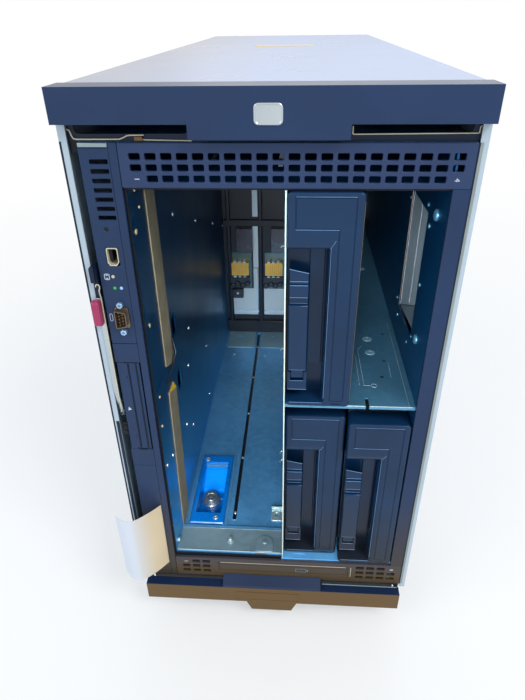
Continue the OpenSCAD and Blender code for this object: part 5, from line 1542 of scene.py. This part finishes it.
def make_rear():
    """Finger guards, screws, supply grilles and blanks' rails at the back."""
    y = mm_box("rear_frame")[1].y
    for n in range(4):
        low, high = mm_box("fan_rotor_%d" % (n + 1))
        x, z = (low.x + high.x) / 2, (low.z + high.z) / 2

        def guard(bm, x=x, z=z):
            for r in (9, 16, 23, 30, 36):
                tube(bm, [(x + u, y + 1.0, z + w) for u, w in arc(0, 0, r, 0, 345, 23)], 0.8, 6, closed=True)
            for k in range(4):
                turn = math.radians(45 + 90 * k)
                tube(bm, [(x + math.cos(turn) * 7, y + 0.2, z + math.sin(turn) * 7),
                          (x + math.cos(turn) * 43, y + 0.2, z + math.sin(turn) * 43)], 0.9, 6)
        trim("fan_guard_%d" % (n + 1), guard, ZINC)

        def frame_plate(bm, x=x, z=z):
            outer = round_rect(x - 41, z - 41, x + 41, z + 41, 5, 4)
            hole = arc(x, z, 37.5, 0, 352.5, 47)
            fill_plate(bm, outer, [hole], "y", y + 0.9, y + 0.02, 0.3)
        trim("fan_frame_%d" % (n + 1), frame_plate, BLACK)

        def screws(bm, x=x, z=z):
            for u in (-35, 35):
                for w in (-35, 35):
                    screw(bm, (x + u, y + 0.9, z + w), (0, 1, 0), 3.2, 1.4)
        trim("fan_screws_%d" % (n + 1), screws, ZINC)

        def rotor_cap(bm, x=x, z=z, low=low, high=high):
            lathe(bm, (x, high.y - 0.1, z), (0, 1, 0), [(2.4, 0), (17.4, 0), (17.0, 0.5), (11, 0.6), (10.6, 0.3), (2.4, 0.3),
                                                       (2.4, 0)], 36)
        trim("rotor_ring_%d" % (n + 1), rotor_cap, ZINC, "fan_rotor_%d" % (n + 1))

    for n in (1, 2):
        low, high = mm_box("power_supply_%d" % n)
        face = y + 1.0

        def grille(bm, low=low):
            x0, z0, z1 = low.x + 41, low.z + 7, low.z + 45
            holes = []
            for i in range(4):
                for j in range(7):
                    u, w = x0 + 3 + i * 4.2 + (j % 2) * 2.1, z0 + 4 + j * 5
                    holes.append(arc(u, w, 1.6, 0, 300, 5))
            fill_plate(bm, round_rect(x0 - 1, z0 - 1, x0 + 19.5, z1, 1.5), holes, "y", face + 0.5, face + 0.02, 0.15)
        trim("supply_grille_%d" % n, grille, ZINC, "power_supply_%d" % n)

        def inlet(bm, low=low):
            outer = round_rect(low.x + 6.5, low.z + 6.5, low.x + 37.5, low.z + 33.5, 2.5)
            fill_plate(bm, outer, [round_rect(low.x + 9, low.z + 9, low.x + 35, low.z + 31, 3.5)], "y", face + 1.2,
                       face - 12, 0.4)
        trim("supply_inlet_%d" % n, inlet, BLACK, "power_supply_%d" % n)

        def lamp(bm, low=low):
            lathe(bm, (low.x + 14, face, low.z + 42), (0, 1, 0), [(0, -1), (1.8, -1), (1.8, 0.4), (1.2, 0.9), (0, 1.0)], 18)
        trim("supply_lamp_%d" % n, lamp, LAMP, "power_supply_%d" % n)

        def latch(bm, low=low, high=high):
            extrude(bm, [(low.x + 73.5, face - 0.1), (low.x + 80.5, face - 0.1), (low.x + 80.5, face + 5), (low.x + 77, face + 9),
                         (low.x + 73.5, face + 5)], "z", low.z + 16, low.z + 36)
        trim("supply_latch_%d" % n, latch, WINE, "power_supply_%d" % n, bevel=0.8)

    def rear_screws(bm):
        for x in (SKIN_L + 4, SKIN_R - 4):
            for z in (60, 119, 200, 259, 354, 440):
                screw(bm, (x, y, z), (0, 1, 0), 2.6, 1.2)
        for x in (-50, 0, 50):
            screw(bm, (x, y, CHASSIS_H - 3.6), (0, 1, 0), 2.0, 1.0)
    trim("rear_screws", rear_screws, ZINC)

    def rails(bm):
        for k in range(4):
            z = 121 + k * 35 + 1.6
            add_box(bm, (SKIN_L + 3.6, y - 60, z), (SKIN_L + 5.2, y + 0.6, z + 2.4))
            add_box(bm, (SKIN_L + 200.4, y - 60, z), (SKIN_L + 202, y + 0.6, z + 2.4))
    trim("rear_rails", rails, BRIGHT, bevel=0.4)

    def seams(bm):
        for z in (118.4, 260.4):
            outline = round_rect(SKIN_L + 3, z - 0.5, SKIN_R - 3, z + 0.5, 0.45, 3)
            fill_plate(bm, outline, [], "y", y + 0.35, y - 0.2, 0.15)
    trim("rear_seams", seams, REAR_STEEL)


def make_casters():
    """Hubs of the four wheels and the fixings of their plates and forks."""
    for name, body in (("front_left", "wheel_front_left"), ("front_right", "wheel_front_right"),
                       ("rear_left", "wheel_rear_left"), ("rear_right", "wheel_rear_right")):
        low, high = mm_box(body)
        middle = (low + high) / 2

        def hub(bm, low=low, high=high, middle=middle):
            for side, x in ((-1, low.x), (1, high.x)):
                lathe(bm, (x - side * 1.9, middle.y, middle.z), (side, 0, 0),
                      [(3.2, 0), (5.4, 0), (5.4, 1.5), (3.2, 1.5), (3.2, 0)], 28)
                lathe(bm, (x - side * 1.9, middle.y, middle.z), (side, 0, 0),
                      [(8.4, 0), (10.6, 0), (10.6, 0.9), (8.4, 0.9), (8.4, 0)], 32)
        trim("hub_" + name, hub, ZINC, body)
    for side in (-1, 1):
        name = "left" if side < 0 else "right"
        low, high = mm_box("caster_fork_" + name)
        middle = (low + high) / 2

        def axle_nuts(bm, low=low, high=high):
            for s, x in ((-1, low.x), (1, high.x)):
                wheel = (mm_box("wheel_front_" + name)[0] + mm_box("wheel_front_" + name)[1]) / 2
                lathe(bm, (x, wheel.y, wheel.z), (s, 0, 0), [(0, -0.2), (4.0, -0.2), (4.0, 2.0), (3.4, 2.5), (0, 2.5)], 6)
        trim("axle_nuts_" + name, axle_nuts, ZINC, "caster_fork_" + name)

    def plate_screws(bm):
        for side in (-1, 1):
            for y in (62, 725):
                x = side * (HALF_W - 46)
                for u in (-18, 18):
                    for v in (-16, 16):
                        screw(bm, (x + u, y + v, -14), (0, 0, -1), 2.6, 1.4)
    trim("caster_screws", plate_screws, ZINC)


# ---------- Stage, light and camera ----------

def camera_rays(nodes, links):
    """1 where the camera, a reflection or glass looks at the surface, 0 for light that bounces."""
    path = nodes.new("ShaderNodeLightPath")
    total = path.outputs["Is Camera Ray"]
    for ray in ("Is Glossy Ray", "Is Transmission Ray"):
        add = nodes.new("ShaderNodeMath")
        add.operation = "MAXIMUM"
        links.new(total, add.inputs[0])
        links.new(path.outputs[ray], add.inputs[1])
        total = add.outputs[0]
    return total


def make_stage():
    """A pale floor whose colour runs out to the white background, and keeps the object's shadow."""
    bpy.ops.mesh.primitive_plane_add(size=14, location=(0, 0, -0.0005))
    floor = bpy.context.object
    floor.name = "stage_floor"
    pale = surface("stage_pale", (0.90, 0.90, 0.90), 0.75, mottle=(1.0, 0.01), grain=(300, 0.05), specular=0.1)
    nodes, links = pale.node_tree.nodes, pale.node_tree.links
    place = nodes.new("ShaderNodeTexCoord").outputs["Object"]
    away = nodes.new("ShaderNodeVectorMath")
    away.operation = "LENGTH"
    links.new(place, away.inputs[0])
    reach = remap(nodes, links, away.outputs["Value"], 0.45, 1.0, 0.45, 1.6)
    seen = nodes.new("ShaderNodeMath")
    seen.operation = "MULTIPLY"
    links.new(reach, seen.inputs[0])
    links.new(camera_rays(nodes, links), seen.inputs[1])
    white = nodes.new("ShaderNodeEmission")
    mix = nodes.new("ShaderNodeMixShader")
    links.new(seen.outputs[0], mix.inputs["Fac"])
    links.new(nodes["Principled BSDF"].outputs[0], mix.inputs[1])
    links.new(white.outputs[0], mix.inputs[2])
    links.new(mix.outputs[0], nodes["Material Output"].inputs["Surface"])
    floor.data.materials.append(pale)


def make_world():
    world = bpy.data.worlds.new("studio")
    scene.world = world
    world.use_nodes = True
    nodes, links = world.node_tree.nodes, world.node_tree.links
    soft = nodes["Background"]
    soft.inputs["Color"].default_value = (0.86, 0.93, 1.0, 1)
    soft.inputs["Strength"].default_value = 0.75
    white = nodes.new("ShaderNodeBackground")
    white.inputs["Color"].default_value = (1, 1, 1, 1)
    white.inputs["Strength"].default_value = 1.0
    mix = nodes.new("ShaderNodeMixShader")
    links.new(camera_rays(nodes, links), mix.inputs["Fac"])
    links.new(soft.outputs[0], mix.inputs[1])
    links.new(white.outputs[0], mix.inputs[2])
    links.new(mix.outputs[0], nodes["World Output"].inputs["Surface"])


def area_light(name, place, target, size, power, color=(1, 1, 1)):
    data = bpy.data.lights.new(name, "AREA")
    data.shape = "RECTANGLE"
    data.size, data.size_y = size
    data.energy = power
    data.color = color
    lamp = bpy.data.objects.new(name, data)
    scene.collection.objects.link(lamp)
    lamp.location = place
    lamp.rotation_euler = (Vector(target) - Vector(place)).to_track_quat("-Z", "Y").to_euler()
    return lamp


INSIDE_NODES = ("bay_wall_left", "bay_wall_right", "bay_floor", "midplane_frame", "midplane_boards", "bay_connectors",
                "bay_divider", "mid_shelf", "chassis_roof", "gasket_strip")
INSIDE_PIECES = ("latch", "sill", "floor_", "shelf", "midplane", "contact", "window", "left_wall", "right_wall", "gasket",
                 "divider")


def make_lights():
    area_light("key", (0.9, -1.3, 1.7), (0, -0.3, 0.25), (0.7, 0.5), 15, (1.0, 0.99, 0.97))
    area_light("fill", (-1.1, -1.2, 1.1), (0, -0.3, 0.3), (1.0, 1.0), 7, (0.93, 0.97, 1.0))
    area_light("rear", (0.2, 1.4, 1.5), (0, 0.2, 0.3), (1.4, 0.9), 8)
    inside = bpy.data.collections.new("inside")
    for name in INSIDE_NODES:
        inside.objects.link(frame["nodes"][name])
    for obj in scene.objects:
        if obj.type == "MESH" and obj.name.startswith(INSIDE_PIECES) and obj.name not in inside.objects:
            inside.objects.link(obj)
    for name, place, target, size, power in (("bay", (-0.03, -1.45, 0.90), (-0.04, -0.1, 0.10), (0.4, 0.4), 20),
                                             ("bay_low", (-0.10, -1.20, 0.35), (-0.06, 0.1, 0.12), (0.3, 0.2), 6)):
        lamp = area_light(name, place, target, size, power, (0.90, 0.97, 1.0))
        lamp.light_linking.receiver_collection = inside


def make_camera():
    yaw, pitch, roll = (math.radians(a) for a in (-3.96, -31.51, -0.83))
    ahead = Vector((math.sin(yaw) * math.cos(pitch), math.cos(yaw) * math.cos(pitch), math.sin(pitch)))
    level = Vector((math.cos(yaw), -math.sin(yaw), 0))
    over = level.cross(ahead)
    right = level * math.cos(roll) + over * math.sin(roll)
    up = over * math.cos(roll) - level * math.sin(roll)
    data = bpy.data.cameras.new("view")
    data.sensor_width = 36
    data.lens = 28.465
    data.clip_start = 0.01
    camera = bpy.data.objects.new("view", data)
    scene.collection.objects.link(camera)
    camera.matrix_world = Matrix((
        (right.x, up.x, -ahead.x, 0.01984),
        (right.y, up.y, -ahead.y, -0.77170),
        (right.z, up.z, -ahead.z, 0.57874),
        (0, 0, 0, 1)))
    scene.camera = camera


make_blanks()
make_strips()
make_drive_face()
make_ears()
make_module()
make_lever()
make_display()
make_wall_details()
make_latch()
make_floor()
make_shelf()
make_window()
make_midplane()
make_skins()
make_tag()
make_rear()
make_casters()
make_stage()
make_world()
make_lights()
make_camera()
scene.view_settings.view_transform = "Standard"
